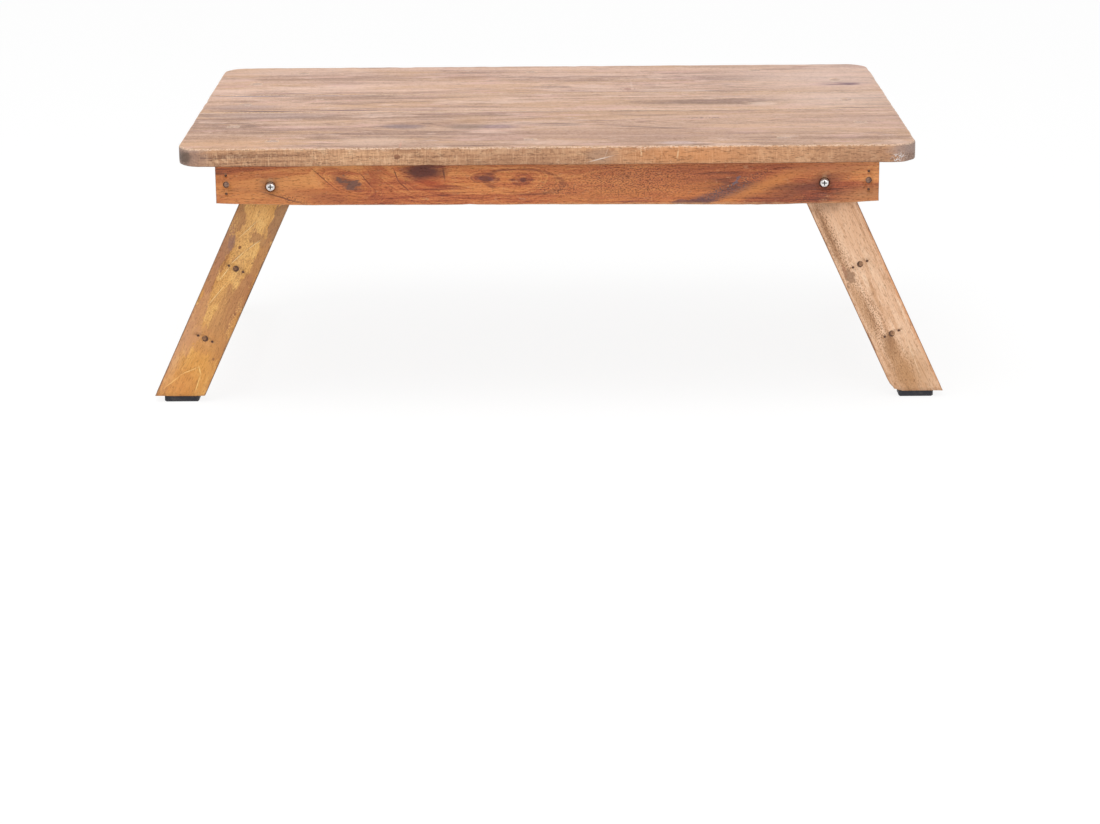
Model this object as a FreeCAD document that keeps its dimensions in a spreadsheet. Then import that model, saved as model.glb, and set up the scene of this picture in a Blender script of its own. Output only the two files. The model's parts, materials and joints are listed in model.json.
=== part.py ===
import FreeCAD, Part
import math
import os
import Sketcher

# Bajot low table: a folding low table of solid wood, standing on its open legs.
# Millimetres and degrees. +Z is up, the front is -Y and the origin is on the floor under the middle.

SIZES = {
    # Whole table
    "table_height": 280,
    "top_length": 750,
    "top_width": 500,
    "top_thickness": 19,
    # Top planks
    "front_plank_width": 204,
    "rear_plank_width": 187.5,
    "plank_seam": 0.3,
    "top_corner_radius": 26,
    "top_edge_round": 2,
    "top_lower_edge_round": 1.5,
    # Frame of four aprons, set back under the top
    "top_end_overhang": 35,
    "top_side_overhang": 30,
    "long_apron_thickness": 20,
    "end_apron_thickness": 20,
    "apron_height": 48,
    "front_apron_left_height": 45,
    "front_apron_right_height": 48.5,
    "apron_edge_round": 1.2,
    "end_apron_inset": 1.5,
    "end_apron_joint_gap": 0.4,
    # Pivots
    "pivot_drop": 26.5,
    "lean_angle": 25,
    "stop_clearance": 0.3,
    "pivot_screw_radius": 2.5,
    "pivot_screw_length": 59,
    "pivot_screw_tip_chamfer": 0.8,
    "pivot_bore_clearance": 0.06,
    "pan_head_radius": 4.8,
    "pan_head_height": 3.7,
    "pan_head_rim": 1.6,
    "pan_head_flat_radius": 1.6,
    "recess_arm_length": 5.2,
    "recess_arm_width": 1.1,
    "recess_depth": 2.4,
    "head_counterbore_radius": 5.7,
    "head_counterbore_depth": 2.2,
    "spacer_radius": 7.5,
    "spacer_thickness": 1.2,
    "spacer_running_gap": 0.2,
    "washer_radius": 5,
    "washer_thickness": 1,
    "nut_across_flats": 8,
    "nut_thickness": 4,
    "nut_counterbore_radius": 6.2,
    "nut_counterbore_depth": 3,
    "nut_running_gap": 0.2,
    # Legs
    "leg_width": 48,
    "leg_thickness": 20,
    "leg_edge_round": 2,
    "pivot_offset": 1.5,
    "leg_end_setback": 5,
    # Crossbars
    "crossbar_thickness": 21,
    "crossbar_width": 44,
    "crossbar_edge_round": 2,
    "crossbar_end_gap": 0.1,
    "upper_crossbar_distance": 99.5,
    "lower_crossbar_distance": 182,
    # Foot pads
    "pad_length": 36,
    "pad_depth": 17,
    "pad_thickness": 6.5,
    "pad_bevel": 1.6,
    "pad_shift": 2,
    "pad_nail_spacing": 18,
    "pad_nail_recess": 1.5,
    # Wood screws and plugs of the top
    "top_screw_length": 30,
    "top_screw_radius": 2,
    "top_screw_head_radius": 4,
    "top_screw_head_height": 2.4,
    "top_plug_radius": 5,
    "top_plug_depth": 6,
    "top_screw_left_inset": 59,
    "top_screw_right_inset": 97,
    "top_screw_front_inset": 95,
    "top_screw_rear_inset": 80,
    # Wood screws and plugs of the frame corners and the crossbars
    "side_screw_length": 42,
    "side_screw_radius": 1.75,
    "side_screw_head_radius": 3,
    "side_screw_head_height": 2,
    "side_plug_radius": 3.2,
    "side_plug_depth": 4,
    "corner_screw_inset": 11,
    "corner_screw_drop": 24,
    # Nails
    "nail_radius": 0.8,
    "nail_length": 32,
    "nail_head_radius": 1.3,
    "nail_head_thickness": 1,
    "nail_point_length": 2.5,
    "corner_nail_spread": 9.5,
    "crossbar_nail_spread": 8,
    "pad_nail_length": 20,
    # Fits
    "hole_clearance": 0.05,
    "cut_overrun": 5,
}

# Working heights and places, each an expression of the sizes above
PLACES = {
    "underside": "sizes.table_height - sizes.top_thickness",
    "middle_plank_near": "sizes.front_plank_width - sizes.top_width / 2",
    "middle_plank_far": "sizes.top_width / 2 - sizes.rear_plank_width",
    "half_length": "sizes.top_length / 2 - sizes.top_end_overhang",
    "half_width": "sizes.top_width / 2 - sizes.top_side_overhang",
    "end_apron_outer": "places.half_length - sizes.end_apron_inset",
    "end_apron_inner": "places.end_apron_outer - sizes.end_apron_thickness",
    "end_apron_middle": "places.end_apron_outer - sizes.end_apron_thickness / 2",
    "long_apron_inner": "places.half_width - sizes.long_apron_thickness",
    "long_apron_middle": "places.half_width - sizes.long_apron_thickness / 2",
    "lean_sine": "sin(sizes.lean_angle * 1 deg)",
    "lean_cosine": "cos(sizes.lean_angle * 1 deg)",
    "pivot_height": "places.underside - sizes.pivot_drop",
    "leg_outer_half": "sizes.leg_width / 2 - sizes.pivot_offset",
    "leg_inner_half": "sizes.leg_width / 2 + sizes.pivot_offset",
    # The open leg leans on the rounded lower inner edge of the end apron
    "stop_drop": "sizes.apron_height - sizes.pivot_drop",
    "stop_ease": "sizes.apron_edge_round * (places.lean_cosine + places.lean_sine - 1)",
    "stop_reach": "places.leg_outer_half + sizes.stop_clearance - places.stop_ease",
    "pivot_inset": "(places.stop_reach + places.stop_drop * places.lean_sine) / places.lean_cosine",
    "pivot_x": "places.end_apron_inner - places.pivot_inset",
    "leg_outer_face": "places.long_apron_inner - sizes.spacer_thickness - sizes.spacer_running_gap",
    "leg_inner_face": "places.leg_outer_face - sizes.leg_thickness",
    "leg_middle": "places.leg_outer_face - sizes.leg_thickness / 2",
    # Where the flat cut of the foot meets the leg's outer side, inner side and middle, along the leg
    "foot_drop": "places.pivot_height - sizes.pad_thickness",
    "foot_outer": "(places.foot_drop + places.leg_outer_half * places.lean_sine) / places.lean_cosine",
    "foot_inner": "(places.foot_drop - places.leg_inner_half * places.lean_sine) / places.lean_cosine",
    "foot_middle": "(places.foot_drop - sizes.pivot_offset * places.lean_sine) / places.lean_cosine",
    "foot_reach": "places.foot_middle * places.lean_sine - sizes.pivot_offset * places.lean_cosine",
    "pad_x": "places.pivot_x + places.foot_reach - sizes.pad_shift",
    "crossbar_length": "2 * (places.leg_inner_face - sizes.crossbar_end_gap)",
    "nut_seat": "places.leg_inner_face + sizes.nut_counterbore_depth - sizes.nut_running_gap",
}

doc = FreeCAD.newDocument("bajot_low_table")
sheet = doc.addObject("Spreadsheet::Sheet", "sizes")
for row, (size_name, size) in enumerate(SIZES.items(), start=1):
    sheet.set(f"A{row}", size_name)
    sheet.set(f"B{row}", str(size))
    sheet.setAlias(f"B{row}", size_name)
doc.recompute()

places = doc.addObject("App::VarSet", "places")
for place_name, formula in PLACES.items():
    places.addProperty("App::PropertyFloat", place_name, "places")
    places.setExpression(place_name, formula)
doc.recompute()

X_AXIS = FreeCAD.Vector(1, 0, 0)
Y_AXIS = FreeCAD.Vector(0, 1, 0)
QUARTER_TURN = 90

# The finished pieces by name
nodes = {}


def value(formula):
    """What an expression comes to with the present sizes."""
    return float(sheet.evalExpression(formula))


def bind(thing, **formulas):
    """Ties properties to expressions of the sizes."""
    for name, formula in formulas.items():
        thing.setExpression(name, formula)
    return thing


def put(thing, x="0", y="0", z="0"):
    """Places a thing at a point given by expressions."""
    for axis, formula in (("x", x), ("y", y), ("z", z)):
        thing.setExpression(f"Placement.Base.{axis}", formula)
    return thing


def cylinder(name, radius, length, at, along="z"):
    """A cylinder that starts at a point and runs along +Z or +Y."""
    rod = bind(doc.addObject("Part::Cylinder", name), Radius=radius, Height=length)
    if along == "y":
        rod.Placement.Rotation = FreeCAD.Rotation(X_AXIS, -QUARTER_TURN)
    return put(rod, *at)


def cone(name, near_radius, far_radius, length, at, along="z"):
    """A cone that starts at a point and runs along +Z or +Y."""
    taper = bind(doc.addObject("Part::Cone", name), Radius1=near_radius, Radius2=far_radius, Height=length)
    if along == "y":
        taper.Placement.Rotation = FreeCAD.Rotation(X_AXIS, -QUARTER_TURN)
    return put(taper, *at)


def join(name, pieces):
    """Several overlapping shapes as one solid."""
    union = doc.addObject("Part::MultiFuse", name)
    union.Shapes = pieces
    return union


def group(name, pieces):
    """Separate solids under one name."""
    compound = doc.addObject("Part::Compound", name)
    compound.Links = pieces
    return compound


def cut(name, base, tools):
    """A piece with its holes."""
    drilled = doc.addObject("Part::Cut", name)
    drilled.Base = base
    drilled.Tool = tools[0] if len(tools) == 1 else group(name + "_holes", tools)
    return drilled


def mirror(name, source, normal):
    """The same piece on the other side of the table."""
    twin = doc.addObject("Part::Mirroring", name)
    twin.Source = source
    twin.Normal = normal
    return twin


def front_and_back(name, source):
    """A piece and its twin across the table's depth."""
    return [source, mirror(name + "_back", source, Y_AXIS)]


def four_corners(name, source):
    """A piece and its three mirror twins."""
    pair = front_and_back(name, source)
    return pair + [mirror(f"{name}_right_{number}", piece, X_AXIS) for number, piece in enumerate(pair)]


def origin_plane(body, role):
    """One of a body's own origin planes."""
    return next(feature for feature in body.Origin.OriginFeatures if feature.Role == role)


def outline(body, plane, corners, name, arcs=()):
    """A closed outline. Each corner is a pair of expressions; arcs name sides that bulge through a point."""
    sketch = body.newObject("Sketcher::SketchObject", name)
    sketch.AttachmentSupport = [(origin_plane(body, plane), "")]
    sketch.MapMode = "FlatFace"
    points = [FreeCAD.Vector(value(x), value(y), 0) for x, y in corners]
    bulges = dict(arcs)
    count = len(points)
    for side in range(count):
        start, end = points[side], points[(side + 1) % count]
        if side in bulges:
            through = FreeCAD.Vector(value(bulges[side][0]), value(bulges[side][1]), 0)
            sketch.addGeometry(Part.Arc(start, through, end))
        else:
            sketch.addGeometry(Part.LineSegment(start, end))
    # An arc that the sketcher stores the other way round starts at its far corner
    first = []
    for side in range(count):
        stored = sketch.getPoint(side, 1)
        first.append(1 if stored.distanceToPoint(points[side]) < stored.distanceToPoint(points[(side + 1) % count]) else 2)
    for side in range(count):
        following = (side + 1) % count
        sketch.addConstraint(Sketcher.Constraint("Coincident", side, 3 - first[side], following, first[following]))
    for side, (x, y) in enumerate(corners):
        for kind, formula in (("DistanceX", x), ("DistanceY", y)):
            index = sketch.addConstraint(Sketcher.Constraint(kind, -1, 1, side, first[side], value(formula)))
            sketch.setExpression(f"Constraints[{index}]", formula)
    for side, (_, _, centre_x) in bulges.items():
        index = sketch.addConstraint(Sketcher.Constraint("DistanceX", -1, 1, side, 3, value(centre_x)))
        sketch.setExpression(f"Constraints[{index}]", centre_x)
    return sketch


def pad(body, sketch, length, reverse=False):
    """An outline given its thickness."""
    slab = body.newObject("PartDesign::Pad", body.Name + "_pad")
    slab.Profile = sketch
    slab.Reversed = reverse
    slab.setExpression("Length", length)
    doc.recompute()
    return slab


def edges_where(shape, test):
    """Names of the edges whose middle and direction pass a test."""
    names = []
    for number, edge in enumerate(shape.Edges, start=1):
        middle = edge.valueAt((edge.FirstParameter + edge.LastParameter) / 2)
        ends = edge.Vertexes
        span = ends[-1].Point - ends[0].Point
        if test(middle, span):
            names.append(f"Edge{number}")
    return names


def round_edges(body, feature, test, radius, name):
    """Rounds the edges of a body that pass a test."""
    names = edges_where(feature.Shape, test)
    fillet = body.newObject("PartDesign::Fillet", name)
    fillet.Base = (feature, names)
    fillet.setExpression("Radius", radius)
    doc.recompute()
    return fillet


def near(first, second):
    """True where two lengths agree to within the finest clearance."""
    return abs(first - second) < value("sizes.hole_clearance")


def is_upright(span):
    return near(span.x, 0) and near(span.y, 0) and not near(span.z, 0)


def screw(name, at, along, length, radius, head_radius, head_height, spare="0"):
    """A countersunk wood screw that points down or along +Y; spare widens it into its own hole."""
    x, y, z = at
    reach = f"({length} + {spare})"
    thin, wide = f"{radius} + {spare}", f"{head_radius} + {spare}"
    if along == "y":
        shank = cylinder(name + "_shank", thin, reach, at, along)
        head = cone(name + "_head", wide, thin, head_height, at, along)
        return join(name, [shank, head])
    shank = cylinder(name + "_shank", thin, reach, (x, y, f"{z} - {reach}"))
    head = cone(name + "_head", thin, wide, head_height, (x, y, f"{z} - {head_height}"))
    return join(name, [shank, head])


def nail(name, at, length, spare="0"):
    """A brad nail along +Y with its head at a point; spare widens it into its own hole."""
    x, y, z = at
    radius = f"sizes.nail_radius + {spare}"
    shank_length = f"{length} - sizes.nail_point_length"
    head = cylinder(name + "_head", f"sizes.nail_head_radius + {spare}", "sizes.nail_head_thickness", at, "y")
    shank = cylinder(name + "_shank", radius, shank_length, at, "y")
    point = cone(name + "_point", radius, "0", "sizes.nail_point_length", (x, f"{y} + {shank_length}", z), "y")
    return join(name, [head, shank, point])


TOP_SCREW = ("sizes.top_screw_length", "sizes.top_screw_radius", "sizes.top_screw_head_radius",
             "sizes.top_screw_head_height")
SIDE_SCREW = ("sizes.side_screw_length", "sizes.side_screw_radius", "sizes.side_screw_head_radius",
              "sizes.side_screw_head_height")
HOLE_SPARE = "sizes.hole_clearance"


# Screws and plugs of the top: a row over each long apron and a column over each end apron
def top_screw_places():
    row_x = ("sizes.top_screw_left_inset - places.half_length",
             "(sizes.top_screw_left_inset - sizes.top_screw_right_inset) / 2",
             "places.half_length - sizes.top_screw_right_inset")
    rows = [(x, side + "places.long_apron_middle") for side in ("-", "") for x in row_x]
    column_y = ("sizes.top_screw_front_inset - places.half_width",
                "(places.middle_plank_near + places.middle_plank_far) / 2",
                "places.half_width - sizes.top_screw_rear_inset")
    columns = [(side + "places.end_apron_middle", y) for side in ("-", "") for y in column_y]
    return rows + columns


def make_top_fixings():
    screws, plugs, holes = [], [], []
    plug_floor = "sizes.table_height - sizes.top_plug_depth"
    for number, (x, y) in enumerate(top_screw_places()):
        screws.append(screw(f"top_screw_{number}", (x, y, plug_floor), "z", *TOP_SCREW))
        plugs.append(cylinder(f"top_plug_{number}", "sizes.top_plug_radius", "sizes.top_plug_depth", (x, y, plug_floor)))
        shaft = screw(f"top_screw_hole_{number}", (x, y, plug_floor), "z", *TOP_SCREW, HOLE_SPARE)
        mouth = cylinder(f"top_plug_hole_{number}", f"sizes.top_plug_radius + {HOLE_SPARE}",
                         "sizes.top_plug_depth + sizes.cut_overrun", (x, y, plug_floor))
        holes.append(join(f"top_hole_{number}", [shaft, mouth]))
    group("top_screws", screws)
    group("top_plugs", plugs)
    return holes


def make_planks(holes):
    """Three lengthwise planks; the two outer ones carry the rounded corners."""
    spans = {
        "front": ("-sizes.top_width / 2", "places.middle_plank_near"),
        "middle": ("places.middle_plank_near + sizes.plank_seam", "places.middle_plank_far - sizes.plank_seam"),
        "rear": ("places.middle_plank_far", "sizes.top_width / 2"),
    }
    end = value("sizes.top_length / 2")
    side = value("sizes.top_width / 2")
    thickness = value("sizes.top_thickness")
    for name, (near_y, far_y) in spans.items():
        body = doc.addObject("PartDesign::Body", f"plank_{name}_body")
        corners = [("-sizes.top_length / 2", near_y), ("sizes.top_length / 2", near_y),
                   ("sizes.top_length / 2", far_y), ("-sizes.top_length / 2", far_y)]
        solid = pad(body, outline(body, "XY_Plane", corners, f"plank_{name}_outline"), "sizes.top_thickness")
        if name != "middle":
            solid = round_edges(body, solid, lambda at, span: is_upright(span) and near(abs(at.y), side),
                                "sizes.top_corner_radius", f"plank_{name}_corners")
        seams = [value(y) for y in (near_y, far_y) if not near(abs(value(y)), side)]

        def on_rim(at, span, level):
            along_seam = any(near(at.y, seam) for seam in seams) and not near(abs(at.x), end)
            return near(at.z, level) and not along_seam

        solid = round_edges(body, solid, lambda at, span: on_rim(at, span, thickness),
                            "sizes.top_edge_round", f"plank_{name}_upper_rim")
        round_edges(body, solid, lambda at, span: on_rim(at, span, 0),
                    "sizes.top_lower_edge_round", f"plank_{name}_lower_rim")
        put(body, z="places.underside")
        low, high = value(near_y), value(far_y)
        own = [hole for hole, (_, y) in zip(holes, top_screw_places()) if low < value(y) < high]
        cut(f"plank_{name}", body, own)


def corner_point(spread="0"):
    """A fixing in the front left corner of the frame, on the long apron's face."""
    return ("sizes.corner_screw_inset - places.half_length", "-places.half_width",
            f"places.underside - sizes.corner_screw_drop + {spread}")


def make_corner_fixings():
    """A plugged screw and two nails at each end of the long aprons."""
    x, y, z = corner_point()
    seat = (x, f"{y} + sizes.side_plug_depth", z)
    one_screw = screw("corner_screw", seat, "y", *SIDE_SCREW)
    one_plug = cylinder("corner_plug", "sizes.side_plug_radius", "sizes.side_plug_depth", (x, y, z), "y")
    group("apron_screws", four_corners("corner_screw", one_screw))
    group("apron_plugs", four_corners("corner_plug", one_plug))
    nails, nail_holes = [], []
    for name, spread in (("lower", "-sizes.corner_nail_spread"), ("upper", "sizes.corner_nail_spread")):
        at = corner_point(spread)
        nails += four_corners(f"corner_nail_{name}", nail(f"corner_nail_{name}", at, "sizes.nail_length"))
        nail_holes.append(nail(f"corner_nail_hole_{name}", at, f"sizes.nail_length + {HOLE_SPARE}", HOLE_SPARE))
    group("apron_nails", nails)
    shaft = screw("corner_screw_hole", seat, "y", *SIDE_SCREW, HOLE_SPARE)
    mouth = cylinder("corner_plug_hole", f"sizes.side_plug_radius + {HOLE_SPARE}",
                     "sizes.side_plug_depth + sizes.cut_overrun", (x, f"{y} - sizes.cut_overrun", z), "y")
    return four_corners("corner_hole", join("corner_hole", [shaft, mouth] + nail_holes))


def make_pivot_holes():
    """Counterbored holes for the pivot screws through the long aprons."""
    at = ("-places.pivot_x", "-places.half_width", "places.pivot_height")
    start = f"{at[1]} - sizes.cut_overrun"
    bore = cylinder("apron_bore", f"sizes.pivot_screw_radius + {HOLE_SPARE}",
                    "sizes.long_apron_thickness + 2 * sizes.cut_overrun", (at[0], start, at[2]), "y")
    recess = cylinder("apron_counterbore", "sizes.head_counterbore_radius",
                      "sizes.head_counterbore_depth + sizes.cut_overrun", (at[0], start, at[2]), "y")
    return four_corners("apron_bore", join("apron_bore_and_recess", [bore, recess]))


def long_apron(name, left_height, right_height):
    """A long board at the front of the frame whose lower edge may run at a slight slope."""
    body = doc.addObject("PartDesign::Body", f"{name}_body")
    corners = [("-places.half_length", "0"), ("-places.half_length", f"-{left_height}"),
               ("places.half_length", f"-{right_height}"), ("places.half_length", "0")]
    solid = pad(body, outline(body, "XZ_Plane", corners, f"{name}_outline"), "sizes.long_apron_thickness", True)
    round_edges(body, solid, lambda at, span: not near(at.z, 0) and near(span.y, 0),
                "sizes.apron_edge_round", f"{name}_edges")
    return put(body, y="-places.half_width", z="places.underside")


def make_aprons(top_holes, corner_holes, pivot_holes):
    side_holes = corner_holes + pivot_holes
    front = long_apron("apron_front", "sizes.front_apron_left_height", "sizes.front_apron_right_height")
    cut("apron_front", front, top_holes + side_holes)
    back_blank = long_apron("apron_back", "sizes.apron_height", "sizes.apron_height")
    cut("apron_back", mirror("apron_back_blank", back_blank, Y_AXIS), top_holes + side_holes)
    left = bind(doc.addObject("Part::Box", "apron_left_board"), Length="sizes.end_apron_thickness",
                Width="2 * (places.long_apron_inner - sizes.end_apron_joint_gap)", Height="sizes.apron_height")
    put(left, "-places.end_apron_outer", "sizes.end_apron_joint_gap - places.long_apron_inner",
        "places.underside - sizes.apron_height")
    doc.recompute()
    low = value("places.underside - sizes.apron_height")
    eased = rounded(left, lambda at, span: near(at.z, low) and near(span.x, 0), "sizes.apron_edge_round")
    cut("apron_left", eased, top_holes + corner_holes)
    cut("apron_right", mirror("apron_right_blank", eased, X_AXIS), top_holes + corner_holes)


def rounded(board, test, radius):
    """A board with some of its edges rounded."""
    fillet = doc.addObject("Part::Fillet", board.Name + "_rounded")
    fillet.Base = board
    size = value(radius)
    fillet.Edges = [(int(name[4:]), size, size) for name in edges_where(board.Shape, test)]
    return fillet


# Pivot screws, spacers, washers and nuts
def pan_head_screw():
    """A pan-head screw turned about its own axis, which is the body's Y."""
    body = doc.addObject("PartDesign::Body", "pivot_screw_body")
    tip = "sizes.pivot_screw_length"
    corners = [("0", "-sizes.pan_head_height"), ("sizes.pan_head_flat_radius", "-sizes.pan_head_height"),
               ("sizes.pan_head_radius", "-sizes.pan_head_rim"), ("sizes.pan_head_radius", "0"),
               ("sizes.pivot_screw_radius", "0"), ("sizes.pivot_screw_radius", f"{tip} - sizes.pivot_screw_tip_chamfer"),
               ("sizes.pivot_screw_radius - sizes.pivot_screw_tip_chamfer", tip), ("0", tip)]
    radius, height, rim, flat = (value("sizes.pan_head_" + name) for name in ("radius", "height", "rim", "flat_radius"))
    # The crown is an arc that leaves the flat top level: its centre lies straight below the flat's edge
    run, rise = radius - flat, height - rim
    crown = (run * run + rise * rise) / (2 * rise)
    half = math.asin(run / crown) / 2
    through = (str(flat + crown * math.sin(half)), str(-height + crown * (1 - math.cos(half))))
    profile = outline(body, "XY_Plane", corners, "pivot_screw_profile",
                      [(1, (*through, "sizes.pan_head_flat_radius"))])
    turned = body.newObject("PartDesign::Revolution", "pivot_screw_turned")
    turned.Profile = profile
    turned.ReferenceAxis = (profile, ["V_Axis"])
    turned.Angle = 4 * QUARTER_TURN
    doc.recompute()
    arms = []
    for name, across, up in (("wide", "sizes.recess_arm_length", "sizes.recess_arm_width"),
                             ("tall", "sizes.recess_arm_width", "sizes.recess_arm_length")):
        arm = bind(doc.addObject("Part::Box", f"recess_{name}"), Length=across, Height=up,
                   Width="sizes.recess_depth + sizes.cut_overrun")
        arms.append(put(arm, f"-{across} / 2", "-sizes.pan_head_height - sizes.cut_overrun", f"-{up} / 2"))
    return cut("pivot_screw_at_origin", body, arms)


def make_pivots():
    """Four sets: screw, spacer between apron and leg, washer and nut inside the leg."""
    screw_head_seat = "sizes.head_counterbore_depth - places.half_width"
    one_screw = put(pan_head_screw(), "-places.pivot_x", screw_head_seat, "places.pivot_height")
    at = ("-places.pivot_x", "-places.long_apron_inner", "places.pivot_height")
    bore = f"sizes.pivot_screw_radius + {HOLE_SPARE}"
    spacer = ring("spacer", "sizes.spacer_radius", bore, "sizes.spacer_thickness", at)
    seat = ("-places.pivot_x", "-places.nut_seat", "places.pivot_height")
    washer = ring("washer", "sizes.washer_radius", bore, "sizes.washer_thickness", seat)
    nut_at = (seat[0], f"{seat[1]} + sizes.washer_thickness", seat[2])
    hexagon = bind(doc.addObject("Part::Prism", "nut_blank"), Height="sizes.nut_thickness",
                   Circumradius="sizes.nut_across_flats / 2 / cos(30 deg)")
    hexagon.Placement.Rotation = FreeCAD.Rotation(X_AXIS, -QUARTER_TURN)
    put(hexagon, *nut_at)
    thread = cylinder("nut_bore", bore, "sizes.nut_thickness + 2 * sizes.cut_overrun",
                      (nut_at[0], f"{nut_at[1]} - sizes.cut_overrun", nut_at[2]), "y")
    nut = cut("nut", hexagon, [thread])
    for kind, source in (("pivot_screw", one_screw), ("spacer_washer", spacer), ("nut_washer", washer), ("nut", nut)):
        name_corners(kind, source)


def ring(name, outer, inner, thickness, at):
    """A flat ring along +Y."""
    disc = cylinder(name + "_disc", outer, thickness, at, "y")
    hole = cylinder(name + "_hole", inner, f"{thickness} + 2 * sizes.cut_overrun",
                    (at[0], f"{at[1]} - sizes.cut_overrun", at[2]), "y")
    return cut(name + "_ring", disc, [hole])


def name_corners(kind, source):
    """Front left, front right, back left and back right copies, each a node of its own."""
    for side, depth in (("left", "front"), ("right", "front"), ("left", "back"), ("right", "back")):
        piece = source
        if depth == "back":
            piece = mirror(f"{kind}_{depth}_{side}_y", piece, Y_AXIS)
        if side == "right":
            piece = mirror(f"{kind}_{depth}_{side}_x", piece, X_AXIS)
        nodes[f"{kind}_{depth}_{side}"] = piece


# Leg frames, drawn on the left in the leg's own frame: X runs down the leg and Z towards its inner side
def leg_placement(thing):
    """Turns a thing from the leg's own frame to the open leg at the left pivot."""
    thing.Placement.Rotation = FreeCAD.Rotation(Y_AXIS, QUARTER_TURN)
    thing.setExpression("Placement.Rotation.Angle", "90 + sizes.lean_angle")
    return thing


def on_leg(along, across="0"):
    """The x and z of a point given along and across the left leg from its pivot."""
    x = f"-places.pivot_x - ({along}) * places.lean_sine + ({across}) * places.lean_cosine"
    z = f"places.pivot_height - ({along}) * places.lean_cosine - ({across}) * places.lean_sine"
    return x, z


def make_leg_blank():
    body = doc.addObject("PartDesign::Body", "leg_body")
    outer, inner, setback = "-places.leg_outer_half", "places.leg_inner_half", "sizes.leg_end_setback"
    corners = [(setback, outer), ("places.foot_outer", outer), ("places.foot_inner", inner), (setback, inner)]
    round_top = ("sizes.leg_end_setback - sizes.leg_width / 2", "sizes.pivot_offset", setback)
    solid = pad(body, outline(body, "XZ_Plane", corners, "leg_outline", [(3, round_top)]), "sizes.leg_thickness", True)
    foot = value("(places.foot_outer + places.foot_inner) / 2")
    round_edges(body, solid, lambda at, span: near(span.y, 0) and not near(at.x, foot),
                "sizes.leg_edge_round", "leg_edges")
    leg_placement(body)
    return put(body, "-places.pivot_x", "-places.leg_outer_face", "places.pivot_height")


CROSSBARS = {"upper": "sizes.upper_crossbar_distance", "lower": "sizes.lower_crossbar_distance"}


def make_crossbar(name, distance):
    """A bar between the two legs of a frame."""
    bar = bind(doc.addObject("Part::Box", f"crossbar_{name}_board"), Length="sizes.crossbar_thickness",
               Width="places.crossbar_length", Height="sizes.crossbar_width")
    leg_placement(bar)
    x, z = on_leg(f"{distance} - sizes.crossbar_thickness / 2", "sizes.pivot_offset - sizes.crossbar_width / 2")
    put(bar, x, "-places.crossbar_length / 2", z)
    doc.recompute()
    return rounded(bar, lambda at, span: not near(span.y, 0), "sizes.crossbar_edge_round")


def make_crossbar_fixings():
    """Each crossbar end has a plugged screw and a nail on each side of it, through the front or back leg."""
    screws, plugs, nails, holes = [], [], [], []
    face = "-places.leg_outer_face"
    for name, distance in CROSSBARS.items():
        x, z = on_leg(distance, "sizes.pivot_offset")
        seat = (x, f"{face} + sizes.side_plug_depth", z)
        screws += front_and_back(f"crossbar_screw_{name}", screw(f"crossbar_screw_{name}", seat, "y", *SIDE_SCREW))
        plug = cylinder(f"crossbar_plug_{name}", "sizes.side_plug_radius", "sizes.side_plug_depth", (x, face, z), "y")
        plugs += front_and_back(f"crossbar_plug_{name}", plug)
        tools = [screw(f"crossbar_screw_hole_{name}", seat, "y", *SIDE_SCREW, HOLE_SPARE),
                 cylinder(f"crossbar_plug_hole_{name}", f"sizes.side_plug_radius + {HOLE_SPARE}",
                          "sizes.side_plug_depth + sizes.cut_overrun", (x, f"{face} - sizes.cut_overrun", z), "y")]
        for side, sign in (("outer", "-"), ("inner", "")):
            nail_x, nail_z = on_leg(distance, f"sizes.pivot_offset + {sign}sizes.crossbar_nail_spread")
            label = f"crossbar_nail_{name}_{side}"
            at = (nail_x, face, nail_z)
            nails += front_and_back(label, nail(label, at, "sizes.nail_length"))
            tools.append(nail(label + "_hole", at, f"sizes.nail_length + {HOLE_SPARE}", HOLE_SPARE))
        holes += front_and_back(f"crossbar_hole_{name}", join(f"crossbar_hole_{name}", tools))
    return screws, plugs, nails, holes


def make_foot_pad():
    """A rubber pad with bevelled lower edges under the flat cut of the foot, and its two nails."""
    block = bind(doc.addObject("Part::Box", "foot_block"), Length="sizes.pad_length", Width="sizes.pad_depth",
                 Height="sizes.pad_thickness")
    put(block, "-places.pad_x - sizes.pad_length / 2", "-places.leg_middle - sizes.pad_depth / 2")
    doc.recompute()
    bevelled = doc.addObject("Part::Chamfer", "foot_bevelled")
    bevelled.Base = block
    bevel = value("sizes.pad_bevel")
    bevelled.Edges = [(int(name[4:]), bevel, bevel) for name in edges_where(block.Shape, lambda at, span: near(at.z, 0))]
    nails, pad_holes, leg_holes = [], [], []
    for name, sign in (("outer", "-"), ("inner", "+")):
        x = f"-places.pad_x {sign} sizes.pad_nail_spacing / 2"
        y = "-places.leg_middle"
        seat = "sizes.pad_nail_recess"
        shank = cylinder(f"foot_nail_{name}_shank", "sizes.nail_radius", "sizes.pad_nail_length", (x, y, seat))
        head = cylinder(f"foot_nail_{name}_head", "sizes.nail_head_radius", "sizes.nail_head_thickness", (x, y, seat))
        nails.append(join(f"foot_nail_{name}", [shank, head]))
        shaft = cylinder(f"foot_hole_{name}_shaft", f"sizes.nail_radius + {HOLE_SPARE}",
                         f"sizes.pad_nail_length + {HOLE_SPARE}", (x, y, seat))
        mouth = cylinder(f"foot_hole_{name}_mouth", f"sizes.nail_head_radius + {HOLE_SPARE}",
                         f"{seat} + sizes.nail_head_thickness + {HOLE_SPARE} + sizes.cut_overrun",
                         (x, y, "-sizes.cut_overrun"))
        pad_holes.append(join(f"foot_hole_{name}", [shaft, mouth]))
    return cut("foot_pad", bevelled, pad_holes), nails, pad_holes


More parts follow.
